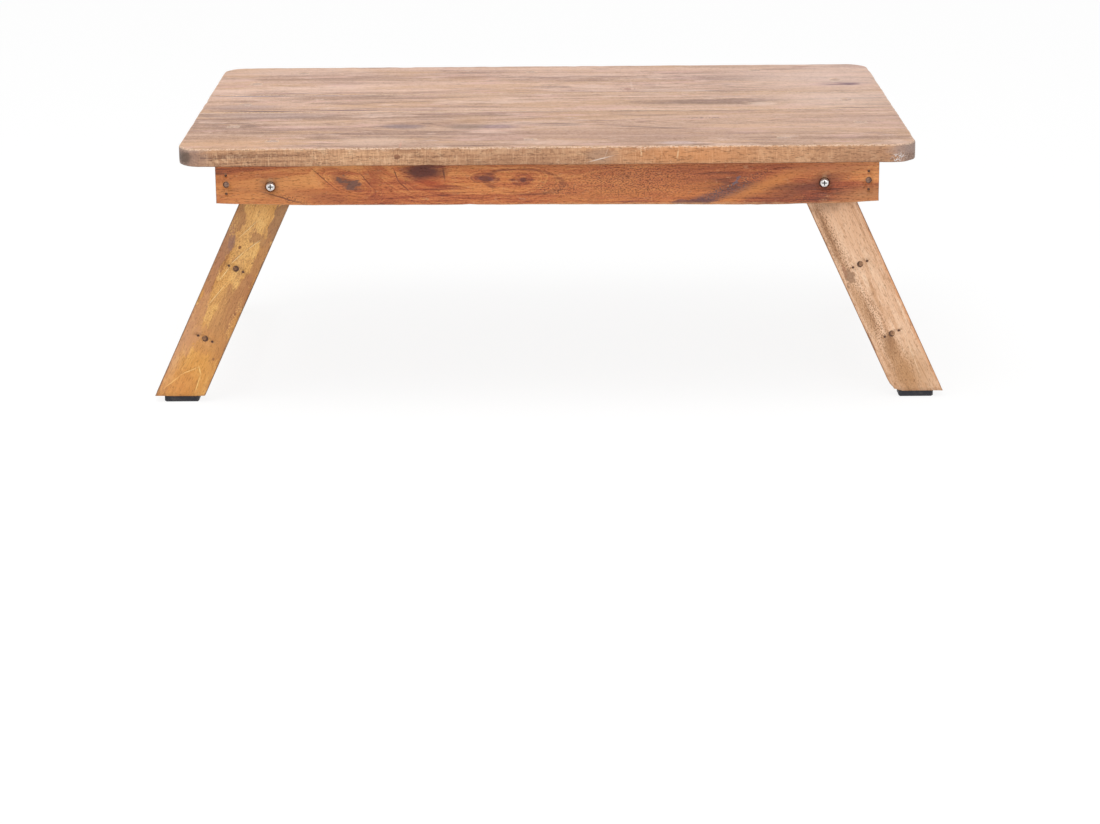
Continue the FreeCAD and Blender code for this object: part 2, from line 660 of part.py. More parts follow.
def make_leg_frames():
    """Two legs, two crossbars, two foot pads and their fixings, then the same mirrored to the right."""
    screws, plugs, nails, crossbar_holes = make_crossbar_fixings()
    foot, foot_nails, foot_holes = make_foot_pad()
    at = ("-places.pivot_x", "-places.leg_outer_face - sizes.cut_overrun", "places.pivot_height")
    bore = cylinder("leg_bore", "sizes.pivot_screw_radius + sizes.pivot_bore_clearance",
                    "sizes.leg_thickness + 2 * sizes.cut_overrun", at, "y")
    recess = cylinder("leg_counterbore", "sizes.nut_counterbore_radius",
                      "sizes.nut_counterbore_depth + sizes.cut_overrun",
                      (at[0], "-places.leg_inner_face - sizes.nut_counterbore_depth", at[2]), "y")
    leg = cut("leg", make_leg_blank(), [bore, recess] + crossbar_holes + foot_holes)
    bars = {name: cut(f"crossbar_{name}", make_crossbar(name, distance), crossbar_holes)
            for name, distance in CROSSBARS.items()}
    frame = {
        "leg_front": leg,
        "leg_back": mirror("leg_behind", leg, Y_AXIS),
        "crossbar_upper": bars["upper"],
        "crossbar_lower": bars["lower"],
        "foot_front": foot,
        "foot_back": mirror("foot_behind", foot, Y_AXIS),
        "crossbar_screws": group("frame_screws", screws),
        "crossbar_plugs": group("frame_plugs", plugs),
        "crossbar_nails": group("frame_nails", nails),
        "foot_nails": group("frame_foot_nails", [twin for item in foot_nails
                                                  for twin in front_and_back(item.Name, item)]),
    }
    for name, piece in frame.items():
        nodes[f"left_{name}"] = piece
        nodes[f"right_{name}"] = mirror(f"right_{name}_twin", piece, X_AXIS)


# The table
top_holes = make_top_fixings()
make_planks(top_holes)
corner_holes = make_corner_fixings()
make_aprons(top_holes, corner_holes, make_pivot_holes())
make_pivots()
make_leg_frames()
for kept in ("plank_front", "plank_middle", "plank_rear", "top_screws", "top_plugs", "apron_front", "apron_back",
             "apron_left", "apron_right", "apron_screws", "apron_plugs", "apron_nails"):
    nodes[kept] = doc.getObject(kept)
doc.recompute()

failed = [thing.Name for thing in doc.Objects if "Invalid" in thing.State or "Error" in thing.State]
assert not failed, f"features failed: {failed}"
for node, piece in nodes.items():
    assert not piece.Shape.isNull() and piece.Shape.isValid(), f"bad shape: {node}"

os.makedirs("parts", exist_ok=True)
for node, piece in nodes.items():
    piece.Label = node
    piece.Shape.exportStep(f"parts/{node}.step")
print(len(nodes), "nodes")
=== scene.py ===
"""A low table of worn solid wood with two folding leg frames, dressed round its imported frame."""

import json
import math

import bmesh
import bpy
from mathutils import Matrix, Vector, noise


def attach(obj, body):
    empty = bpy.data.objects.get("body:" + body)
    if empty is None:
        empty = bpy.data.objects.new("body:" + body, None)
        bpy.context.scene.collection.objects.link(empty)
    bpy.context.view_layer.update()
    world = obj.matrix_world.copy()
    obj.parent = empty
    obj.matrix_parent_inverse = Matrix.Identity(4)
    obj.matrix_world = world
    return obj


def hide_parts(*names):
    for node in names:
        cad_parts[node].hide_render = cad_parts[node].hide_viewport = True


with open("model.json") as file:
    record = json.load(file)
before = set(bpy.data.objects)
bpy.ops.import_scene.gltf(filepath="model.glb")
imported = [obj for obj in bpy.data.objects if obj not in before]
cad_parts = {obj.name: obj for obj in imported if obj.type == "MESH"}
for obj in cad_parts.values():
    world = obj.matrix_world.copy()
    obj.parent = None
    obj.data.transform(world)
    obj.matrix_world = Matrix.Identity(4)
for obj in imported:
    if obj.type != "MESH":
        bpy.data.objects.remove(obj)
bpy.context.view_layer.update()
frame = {"nodes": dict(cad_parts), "record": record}

MM = 0.001
X, Y, Z = Vector((1.0, 0.0, 0.0)), Vector((0.0, 1.0, 0.0)), Vector((0.0, 0.0, 1.0))
WHITE = (1.0, 1.0, 1.0, 1.0)

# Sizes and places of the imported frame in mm; FACES, AT and PIVOT count from the table's middle
TOP_LOW, TOP_HIGH = 261, 280
TOP_HALF_LENGTH, TOP_HALF_WIDTH, TOP_CORNER = 375, 250, 26
APRON_HALF_LENGTH, END_APRON_HALF_LENGTH = 340, 199.6
APRON_HALF_DEPTH, APRON_HALF_THICKNESS = 24, 10
APRON_LOW, APRON_MIDDLE = 213, 237
FRONT_APRON_LOW_LEFT, FRONT_APRON_LOW_RIGHT = 216.0, 212.5
LONG_APRON_FACES = (200, 220)
END_APRON_FACES = (318.5, 338.5)
CORNER_PLUGS_AT = 328.5
LEGS_AT = 188.6
LEG_HALF_THICKNESS = 10
LEG_INNER, LEG_OUTER = 25.5, 22.5  # the pivot's line to the leg's two narrow sides
LEG_LOW = 6.5
PIVOT = (283.753, 234.5)
LEAN = math.radians(25.0)
BAR_REACHES = (99.5, 182.0)  # the pivot to the middles of the two crossbars, down the leg
BAR_HALF_SIZES = (178.5, 22, 10.5)


# Colours and sockets


def paint(red, green, blue):
    """A colour read off a colour card, 0 to 255, as the shader wants it."""
    def linear(value):
        value /= 255
        return value / 12.92 if value <= 0.04045 else ((value + 0.055) / 1.055) ** 2.4

    return (linear(red), linear(green), linear(blue), 1.0)


class Wire:
    """A socket of a finish that can be used in sums."""

    def __init__(self, tree, socket=None):
        self.tree = tree
        self.socket = socket

    def node(self, kind, settings=None, inputs=None, out=0):
        """A new node: its settings first, then the values or wires of its sockets."""
        new = self.tree.nodes.new("ShaderNode" + kind)
        for name, value in (settings or {}).items():
            if name == "stops":
                ramp = new.color_ramp
                while len(ramp.elements) < len(value):
                    ramp.elements.new(0.5)
                for element, (place, colour) in zip(ramp.elements, value):
                    element.position = place
                    element.color = colour
            else:
                setattr(new, name, value)
        for name, value in (inputs or {}).items():
            if isinstance(value, Wire):
                self.tree.links.new(value.socket, new.inputs[name])
            else:
                new.inputs[name].default_value = value
        return Wire(self.tree, new.outputs[out])

    def end(self, surface, kind="Material"):
        """The tree's output, fed by a shader."""
        output = self.tree.nodes.new("ShaderNodeOutput" + kind)
        self.tree.links.new(surface.socket, output.inputs["Surface"])

    def sum(self, operation, first, second=0.0):
        return self.node("Math", {"operation": operation}, {0: first, 1: second})

    def __add__(self, other):
        return self.sum("ADD", self, other)

    def __sub__(self, other):
        return self.sum("SUBTRACT", self, other)

    def __mul__(self, other):
        return self.sum("MULTIPLY", self, other)

    def __rsub__(self, other):
        return self.sum("SUBTRACT", other, self)

    def __abs__(self):
        return self.sum("ABSOLUTE", self)

    def most(self, other):
        return self.sum("MAXIMUM", self, other)

    def least(self, other):
        return self.sum("MINIMUM", self, other)

    def place(self):
        """A point's place at rest, in metres."""
        return self.node("TexCoord", out="Object")

    def rise(self, low, high, top=1.0):
        """0 at low, smoothly up to top at high."""
        return self.node(
            "MapRange",
            {"interpolation_type": "SMOOTHSTEP"},
            {"Value": self, "From Min": low, "From Max": high, "To Max": top},
        )

    def joined(self, *parts):
        """A vector of up to three numbers."""
        return self.node("CombineXYZ", {}, dict(enumerate(parts)))

    def vector(self, operation, second=None, out="Vector"):
        """A sum of vectors: this one and, where it takes two, a second."""
        inputs = {0: self} if second is None else {0: self, 1: second}
        return self.node("VectorMath", {"operation": operation}, inputs, out)

    def scaled(self, *factors):
        """A vector with each part times its own factor."""
        return self.vector("MULTIPLY", factors)

    def counted_from(self, place):
        """The way to here from a place in mm."""
        return self.vector("SUBTRACT", [part * MM for part in place])

    def along(self, axis):
        """How far a vector goes along an axis."""
        return self.vector("DOT_PRODUCT", tuple(axis), "Value")

    def length(self):
        return self.vector("LENGTH", out="Value")

    def noise(self, scale, detail, roughness):
        """Cloudy noise round a half."""
        return self.node(
            "TexNoise",
            {"noise_dimensions": "3D"},
            {"Vector": self, "Scale": scale, "Detail": detail, "Roughness": roughness},
        )

    def bands(self, scale, detail, roughness):
        """Noise along one line, for rings that are never evenly spaced."""
        return self.node(
            "TexNoise",
            {"noise_dimensions": "1D"},
            {"W": self, "Scale": scale, "Detail": detail, "Roughness": roughness},
        )

    def over(self, under, colour):
        """colour laid over under, as much as this mask says."""
        return self.node("Mix", {"data_type": "RGBA"}, {0: self, 6: under, 7: colour}, 2)

    def blend(self, first, second):
        """A number between two others, as this mask says."""
        return self.node("Mix", {"data_type": "FLOAT"}, {0: self, 2: first, 3: second})

    def ellipse(self, centre, size, turn=0):
        """How far out from a centre a point of a face is, 1 on the ellipse."""
        placed = self.node(
            "Mapping",
            {"vector_type": "TEXTURE"},
            {
                "Vector": self,
                "Location": (centre[0] * MM, centre[1] * MM, 0.0),
                "Rotation": (0.0, 0.0, math.radians(turn)),
                "Scale": (size[0] * MM, size[1] * MM, 1.0),
            },
        )
        return placed.length()


def new_finish(name):
    """An empty material and the start of its tree."""
    material = bpy.data.materials.new(name)
    material.use_nodes = True
    material.node_tree.nodes.clear()
    return material, Wire(material.node_tree)


def close_finish(start, colour, roughness, height, depth=0.3, metal=0.0, shine=0.35):
    """The surface shader and the output; depth is how deep the height goes, in mm."""
    inputs = {"Base Color": colour, "Roughness": roughness, "Metallic": metal, "Specular IOR Level": shine}
    inputs["Normal"] = start.node("Bump", {}, {"Height": height, "Distance": depth * MM, "Strength": 1.0})
    start.end(start.node("BsdfPrincipled", {}, inputs))


# Wood


def facing(start, direction):
    """How squarely the surface faces a direction of the board at rest."""
    return start.node("TexCoord", out="Normal").along(direction)


# How ragged each kind of mark is, and where it starts and is full, in its own half sizes
MARKS = {
    "knot": (0.05, 1.1, 0.7),
    "stain": (0.5, 1.3, 0.4),
    "blotch": (1.1, 1.1, 0.86),
    "glow": (0.5, 1.7, 0.0),
    "streaks": (0.5, 1.3, 0.3),
    "specks": (0.5, 1.2, 0.3),
    "ticks": (0.5, 1.2, 0.4),
    "line": (0.05, 1.2, 0.2),
    "ring": (0.05, 1.1, 0.7),
}


class Board:
    """The grain of one board: its own axes, rings about a leaning pith, fibres and pores.

    along, across, middle and half give the board's axes, place and half sizes in mm. The pith runs
    along the board at its own place across and into it, and leans by tilt. eyes are knots that the
    rings flow round: centre, size, turn, and how many mm of rings they are deep.
    """

    def __init__(self, name, along, across, middle, half, pith, tilt, seed, ring=7.0, wave=3.0, eyes=()):
        self.material, start = new_finish(name)
        self.start, self.half, self.planes = start, half, {}
        offset = start.place().counted_from(middle)
        axes = (along, across, along.cross(across))
        self.along, self.across, self.into = (offset.along(axis) for axis in axes)
        body = start.joined(self.along, self.across, self.into)
        self.place = body.vector("ADD", (seed, seed * 0.7, seed * 1.3))
        self.slow = self.grain(3.0, 14.0, 2.0, 0.5) - 0.5
        self.quick = self.grain(16.0, 70.0, 2.0, 0.6) - 0.5
        self.jog = self.grain(70.0, 170.0, 3.0, 0.65) - 0.5
        self.crumb = self.grain(500.0, 900.0, 1.0, 0.5)
        self.streak = self.grain(14.0, 420.0, 2.0, 0.6)
        self.fibre = self.grain(60.0, 1300.0, 2.0, 0.65)
        self.pore = self.grain(190.0, 1300.0, 1.0, 0.5).rise(0.6, 0.7)

        side = self.across - pith[0] * MM - self.along * tilt[0]
        deep = self.into - pith[1] * MM - self.along * tilt[1]
        reach = start.joined(side, deep).length()
        reach = reach + self.slow * (wave * 2.2 * MM) + self.quick * (wave * 0.5 * MM)
        for centre, size, turn, pull in eyes:
            out = self.plane("wide", 0.05).ellipse(centre, size, turn)
            reach = out.rise(2.6, 0.6).blend(reach, out * (pull * MM))
        rings_per_metre = 1000.0 / ring
        self.zones = (reach + seed).bands(rings_per_metre / 4.0, 1.0, 0.5) - 0.5
        self.rings = (reach + seed * 2.0).bands(rings_per_metre, 3.0, 0.6) - 0.5
        self.lines = (reach + seed * 3.0).bands(rings_per_metre * 4.5, 2.0, 0.7) - 0.5
        self.cloud = self.grain(5.0, 20.0, 3.0, 0.55) - 0.5

    def grain(self, long, wide, detail, roughness, place=None):
        """Noise with its own scales along the board and across it."""
        return (place or self.place).scaled(long, wide, wide).noise(1.0, detail, roughness)

    def plane(self, face, ragged):
        """A wide or narrow face seen flat on, in metres; what is laid on it gets ragged edges."""
        key = (face, ragged)
        if key not in self.planes:
            up = {"wide": self.across, "narrow": self.into}[face]
            self.planes[key] = self.start.joined(
                self.along + self.jog * (0.03 * ragged), up + self.jog * (0.012 * ragged)
            )
        return self.planes[key]

    def tone(self, zones=1.0, rings=1.0, lines=0.6, cloud=0.8, streak=0.6, fibre=0.5, crumb=0.35):
        """Pale to dark as 0 to 1, from how strong each part of the grain is."""
        broad = self.zones * zones + self.rings * rings + self.lines * lines + self.cloud * cloud
        fine = (self.streak - 0.5) * streak + (self.fibre - 0.5) * fibre + (self.crumb - 0.5) * crumb
        return broad + fine + 0.5

    def ramp(self, tone, colours):
        """The colours from the palest tone to the darkest."""
        first, last = 0.12, 0.88
        step = (last - first) / (len(colours) - 1)
        stops = [(first + step * i, paint(*rgb)) for i, rgb in enumerate(colours)]
        return tone.node("ValToRGB", {"stops": stops}, {0: tone})

    def tints(self, colour, rows):
        """Clouds of other colours, each in its own place.

        The rows are colour, strength, sizes along and across in mm, and where they start and are full.
        """
        for rgb, strength, (long, wide), low, high in rows:
            place = self.place.vector("ADD", [part * 0.1 for part in rgb])
            mask = self.grain(500.0 / long, 500.0 / wide, 4.0, 0.66, place).rise(low, high, strength)
            colour = mask.over(colour, paint(*rgb))
        return colour

    def marks(self, colour, rows, face="wide"):
        """Knots, stains, cracks and specks, each at its place.

        The rows are kind, centre and half sizes in mm, colour, strength and, if turned, by how many
        degrees.
        """
        for kind, centre, size, rgb, strength, *turn in rows:
            ragged, outer, inner = MARKS[kind]
            out = self.plane(face, ragged).ellipse(centre, size, *turn)
            if kind == "ring":
                mask = abs(out - 1.0).rise(0.14, 0.03, strength) * self.streak.rise(0.3, 0.55)
            else:
                mask = out.rise(outer, inner, strength)
            if kind == "streaks":
                mask = mask * self.streak.rise(0.42, 0.6)
            if kind == "specks":
                mask = mask * self.crumb.rise(0.5, 0.62)
            if kind == "ticks":
                mask = mask * self.comb().rise(0.5, 0.62)
            colour = mask.over(colour, paint(*rgb))
        return colour

    def comb(self):
        """Fine saw marks straight across the board."""
        if "comb" not in self.planes:
            leaning = self.along + self.across * 0.1 + self.jog * 0.002
            self.planes["comb"] = (leaning + self.slow * 0.01).bands(460.0, 2.0, 0.6)
        return self.planes["comb"]

    def on(self, direction, colour, other):
        """other instead of colour where the surface faces a direction."""
        return facing(self.start, direction).rise(0.45, 0.85).over(colour, other)

    def rim(self, wide, centre=0.0):
        """1 along the board's long edges, fading in over some mm; centre is its middle's place across."""
        inset = self.half[1] * MM - abs(self.across - centre * MM)
        depth = self.half[2] * MM - abs(self.into)
        wandering = inset.most(depth) + self.cloud * 0.004 + self.jog * 0.004
        return wandering.rise(wide * MM, -0.3 * MM)

    def ends(self, colour, pale, dark, mask=None):
        """End grain on the board's two ends, or where a mask says."""
        if mask is None:
            mask = abs(self.along).rise((self.half[0] - 0.9) * MM, (self.half[0] - 0.18) * MM)
        speckle = self.grain(30.0, 800.0, 2.0, 0.6).rise(0.35, 0.65)
        return mask.over(colour, speckle.over(paint(*pale), paint(*dark)))

    def finish(self, colour, roughness, pores, sawn=0.0, pore_tint=(66, 40, 28)):
        """Pores, saw marks and the shader."""
        colour = (self.pore * pores).over(colour, paint(*pore_tint))
        height = self.fibre * 0.5 - self.pore * 0.8 + self.rings * 0.3 + self.crumb * 0.25
        if sawn:
            comb = self.comb()
            height = height + comb * (sawn * 2.0)
            colour = (comb.rise(0.56, 0.7) * (sawn * 0.4)).over(colour, paint(84, 58, 46))
        rough = self.rings * 0.15 + self.pore * 0.15 + (self.crumb - 0.5) * 0.3 + roughness
        close_finish(self.start, colour, rough, height)
        return self.material


FINISHES = {}


# The top

EDGE = [(228, 184, 144), (215, 168, 127), (200, 152, 115), (177, 131, 97), (134, 96, 74)]
EDGE_TINTS = [
    ((226, 184, 146), 0.55, (7, 5), 0.52, 0.64),
    ((150, 106, 76), 0.6, (16, 9), 0.54, 0.68),
    ((120, 82, 58), 0.4, (3, 4), 0.58, 0.68),
]
UNDER_TINTS = [
    ((190, 138, 94), 0.5, (70, 18), 0.52, 0.66),
    ((112, 80, 58), 0.5, (70, 14), 0.54, 0.68),
    ((88, 62, 48), 0.5, (22, 5), 0.60, 0.70),
    ((172, 108, 62), 0.5, (50, 20), 0.56, 0.68),
]
TOP_TINTS = [
    ((207, 163, 126), 0.6, (90, 26), 0.47, 0.60),
    ((172, 134, 122), 0.5, (80, 16), 0.54, 0.66),
    ((216, 172, 158), 0.6, (60, 14), 0.54, 0.64),
    ((228, 192, 172), 0.65, (70, 20), 0.54, 0.66),
    ((150, 114, 98), 0.6, (30, 7), 0.58, 0.66),
    ((232, 198, 180), 0.5, (18, 7), 0.58, 0.68),
]

CORNERS = [
    ("stain", (-368, -1), (8, 7), (98, 78, 64), 0.85),
    ("stain", (-358, 8), (16, 3), (176, 146, 130), 0.6),
    ("stain", (-352, -2), (14, 9), (160, 130, 116), 0.5),
    ("specks", (356, -5), (8, 7), (226, 220, 218), 0.9),
    ("stain", (362, 4), (18, 6), (170, 146, 136), 0.6),
]


def plank(
    name, y, half_width, top_tones, under_tones, top_marks, under_marks,
    *, sawn, front=None, under_strength=0.6, **grain,
):
    """A plank of the top: pale above, where painted light from above lies over the wood's own colour,
    brown below, with rubbed edges.
    """
    middle = (0, y, (TOP_LOW + TOP_HIGH) / 2)
    half = (TOP_HALF_LENGTH, half_width, (TOP_HIGH - TOP_LOW) / 2)
    board = Board(name + "_wood", X, Y, middle, half, **grain)
    shares = {"zones": 0.8, "rings": 0.7, "cloud": 1.4}
    broad = {part: share * under_strength for part, share in shares.items()}
    under = board.ramp(board.tone(lines=0.5, streak=0.95, fibre=0.8, crumb=0.6, **broad), under_tones)
    under = board.marks(board.tints(under, UNDER_TINTS), under_marks)
    saw_marks = board.comb().rise(0.58, 0.7) * board.cloud.rise(0.02, 0.14) * sawn
    under = saw_marks.over(under, paint(92, 66, 50))
    side = board.tints(board.ramp(board.tone(rings=0.5, zones=0.5), EDGE), EDGE_TINTS)
    tick = board.grain(800.0, 90.0, 2.0, 0.6)
    side = tick.rise(0.56, 0.68, 0.5).over(side, paint(146, 100, 70))
    side = tick.rise(0.44, 0.32, 0.45).over(side, paint(236, 194, 154))
    if front:
        side = board.marks(side, front, "narrow")
    rounded = abs(facing(board.start, X)) + board.jog * 0.25
    side = rounded.rise(0.02, 0.4, 0.55).over(side, paint(166, 136, 122))
    side = board.ends(side, (172, 140, 124), (124, 100, 86), mask=rounded.rise(0.42, 0.56))
    if front:
        side = board.marks(side, CORNERS, "narrow")
    tone = board.tone(zones=0.85, rings=0.85, lines=0.95, cloud=1.0, streak=1.2, crumb=0.5)
    # The top's tones are paler than the edge and underside: painted light from above laid over the wood's
    # own colour.
    top_with_painted_light = board.ramp(tone, top_tones)
    top_with_painted_light = board.marks(board.tints(top_with_painted_light, TOP_TINTS), top_marks)
    up = facing(board.start, Z)
    colour = up.rise(-0.55, -0.85).over(side, under)
    colour = up.rise(0.5, 0.9).over(colour, top_with_painted_light)
    # A pale line along the top's rounded edge, broken into specks: painted highlight and rubbed wear.
    lip_wear_and_highlight = up.rise(0.05, 0.4) * up.rise(0.998, 0.94) * board.crumb.rise(0.36, 0.6, 0.75)
    colour = lip_wear_and_highlight.over(colour, paint(232, 200, 172))
    return board.finish(colour, roughness=0.5, pores=0.35, sawn=0.12)


FINISHES["plank_front"] = plank(
    "plank_front", -148, 102,
    [(208, 169, 144), (194, 154, 128), (180, 140, 114), (160, 121, 98), (126, 94, 76)],
    [(192, 150, 112), (170, 128, 94), (150, 110, 79), (122, 87, 62), (80, 57, 45)],
    [
        ("stain", (-151, 15), (26, 13), (142, 114, 112), 0.8),
        ("streaks", (-151, 15), (30, 18), (118, 90, 88), 0.9),
        ("stain", (-82, 12), (26, 15), (152, 122, 104), 0.75),
        ("streaks", (-82, 12), (26, 18), (122, 94, 80), 0.85),
        ("glow", (-80, 50), (22, 22), (190, 146, 108), 0.6),
        ("stain", (-50, 10), (22, 12), (150, 122, 128), 0.7),
        ("stain", (-178, -68), (44, 26), (228, 192, 168), 0.5),
        ("line", (-149, -85), (1.2, 20), (206, 140, 116), 0.5),
        ("glow", (-323, -76), (60, 34), (208, 158, 116), 0.6),
        ("stain", (-295, 82), (74, 18), (170, 142, 134), 0.55),
        ("streaks", (10, 24), (34, 16), (128, 98, 84), 0.8),
        ("line", (16, 26), (20, 3.0), (104, 76, 66), 0.9, -4),
        ("line", (24, 17), (16, 2.4), (110, 82, 70), 0.85, 3),
        ("line", (104, 2), (54, 3.8), (116, 84, 68), 0.95, -13),
        ("line", (60, 40), (40, 2.6), (150, 116, 100), 0.7, -8),
        ("specks", (168, 53), (28, 5), (100, 74, 84), 1.0),
        ("stain", (133, -86), (24, 10), (206, 182, 178), 0.55),
        ("glow", (300, 20), (110, 60), (224, 184, 160), 0.4),
        ("streaks", (230, -30), (110, 26), (178, 140, 120), 0.6),
        ("line", (196, -52), (70, 2.2), (172, 136, 118), 0.6, -3),
        ("glow", (50, -40), (110, 60), (186, 144, 119), 0.5),
        ("streaks", (334, 24), (20, 8), (140, 108, 92), 0.5),
        ("knot", (-280, -56), (3, 5), (150, 112, 94), 0.7),
        ("ring", (-280, -56), (6, 8), (160, 122, 104), 0.5),
        ("knot", (-17, -60), (2.4, 4), (146, 112, 98), 0.6),
        ("streaks", (-108, 62), (40, 9), (170, 134, 114), 0.7),
    ],
    [
        ("stain", (3, 69), (8, 9), (122, 98, 86), 0.85),
        ("ring", (3, 69), (8, 10), (70, 50, 44), 0.9),
        ("line", (4, 84), (1.2, 8), (84, 62, 50), 0.7, 8),
        ("blotch", (303, 69), (15, 9), (58, 42, 34), 0.9),
        ("blotch", (312, 62), (8, 6), (66, 48, 38), 0.8),
        ("specks", (303, 69), (17, 11), (166, 128, 90), 0.9),
        ("stain", (-306, 66), (10, 7), (84, 60, 48), 0.8, 20),
        ("ring", (-306, 66), (13, 10), (96, 70, 52), 0.6, 20),
        ("stain", (330, -50), (34, 14), (116, 84, 64), 0.6),
        ("streaks", (230, -86), (120, 9), (66, 50, 46), 0.9),
        ("streaks", (120, -82), (60, 8), (74, 56, 48), 0.8),
        ("blotch", (240, -90), (80, 6), (84, 60, 48), 0.75),
        ("glow", (300, -88), (34, 8), (196, 112, 56), 0.6),
        ("streaks", (-250, -90), (90, 7), (92, 66, 50), 0.7),
        ("glow", (-120, 10), (160, 40), (182, 140, 100), 0.45),
        ("line", (353, 72), (22, 1.0), (52, 38, 34), 0.9),
        ("line", (350, 54), (24, 1.2), (60, 42, 36), 0.8, 2),
        ("line", (-352, 60), (20, 1.2), (60, 44, 38), 0.8),
        ("line", (-350, 88), (22, 1.6), (70, 52, 44), 0.7, -2),
    ],
    front=[
        ("knot", (-152, 0), (3.4, 3), (142, 92, 66), 0.85),
        ("ring", (-152, 0), (5, 4.4), (150, 100, 72), 0.5),
        ("stain", (55, -0.5), (17, 8), (168, 140, 120), 0.75),
        ("line", (54, -3.5), (15, 0.7), (238, 226, 214), 0.9, 14),
        ("line", (60, 3), (9, 0.5), (226, 206, 190), 0.5, 70),
        ("glow", (144, 0), (78, 13), (216, 142, 84), 0.62),
        ("glow", (262, 0), (66, 13), (206, 150, 106), 0.4),
        ("glow", (330, 0), (50, 13), (172, 124, 92), 0.6),
        ("glow", (-40, 0), (100, 13), (170, 122, 90), 0.4),
        ("line", (95, 3), (1.0, 5), (238, 200, 156), 0.7, 8),
        ("line", (132, 1), (1.0, 6), (238, 200, 156), 0.7, -10),
        ("line", (118, 0), (0.8, 5), (150, 96, 62), 0.6, 20),
        ("specks", (360, -3), (8, 5), (240, 232, 226), 0.8),
    ],
    sawn=0.12, pith=(30.0, -46.0), tilt=(0.012, 0.06), seed=1.3, wave=4.0,
)
FINISHES["plank_middle"] = plank(
    "plank_middle", 8.3, 54,
    [(222, 184, 160), (209, 168, 143), (196, 155, 129), (177, 138, 113), (144, 109, 91)],
    [(214, 172, 132), (194, 152, 114), (172, 131, 97), (142, 105, 78), (102, 76, 60)],
    [
        ("line", (-305, -47), (46, 4.2), (104, 78, 74), 0.9),
        ("streaks", (-225, -46), (66, 8), (136, 106, 98), 0.9),
        ("stain", (-330, -20), (44, 16), (172, 140, 130), 0.6),
        ("line", (-322, 50), (58, 4.0), (112, 98, 124), 0.9),
        ("line", (-236, 49), (46, 3.6), (140, 118, 130), 0.7),
        ("line", (337, -48), (42, 4.0), (112, 80, 70), 0.9, 2),
        ("stain", (235, -20), (16, 10), (234, 204, 186), 0.6),
        ("glow", (320, 10), (80, 60), (234, 202, 184), 0.6),
        ("streaks", (319, 48), (40, 5), (140, 104, 94), 0.7),
    ],
    [
        ("glow", (-10, 0), (130, 80), (214, 174, 132), 0.75),
        ("stain", (345, 10), (44, 40), (104, 80, 70), 0.7),
        ("stain", (150, 0), (66, 60), (106, 82, 66), 0.75),
        ("stain", (270, -6), (56, 50), (128, 96, 72), 0.6),
        ("stain", (-250, 24), (66, 20), (112, 80, 60), 0.6),
        ("streaks", (-240, -14), (66, 30), (140, 98, 66), 0.6),
        ("stain", (-352, 24), (34, 26), (98, 78, 74), 0.8),
        ("glow", (-290, -10), (50, 44), (150, 106, 72), 0.5),
        ("streaks", (200, -20), (70, 24), (112, 84, 66), 0.6),
        ("ring", (-88, -14), (26, 12), (112, 80, 58), 0.7, 14),
        ("knot", (-64, 12), (3, 2.4), (96, 66, 50), 0.7),
        ("stain", (-146, 6), (7, 10), (150, 110, 78), 0.6),
        ("streaks", (-230, -30), (80, 10), (92, 68, 56), 0.7),
    ],
    sawn=0.08, pith=(-8.0, -26.0), tilt=(0.0, 0.045), seed=4.1, wave=3.0,
)
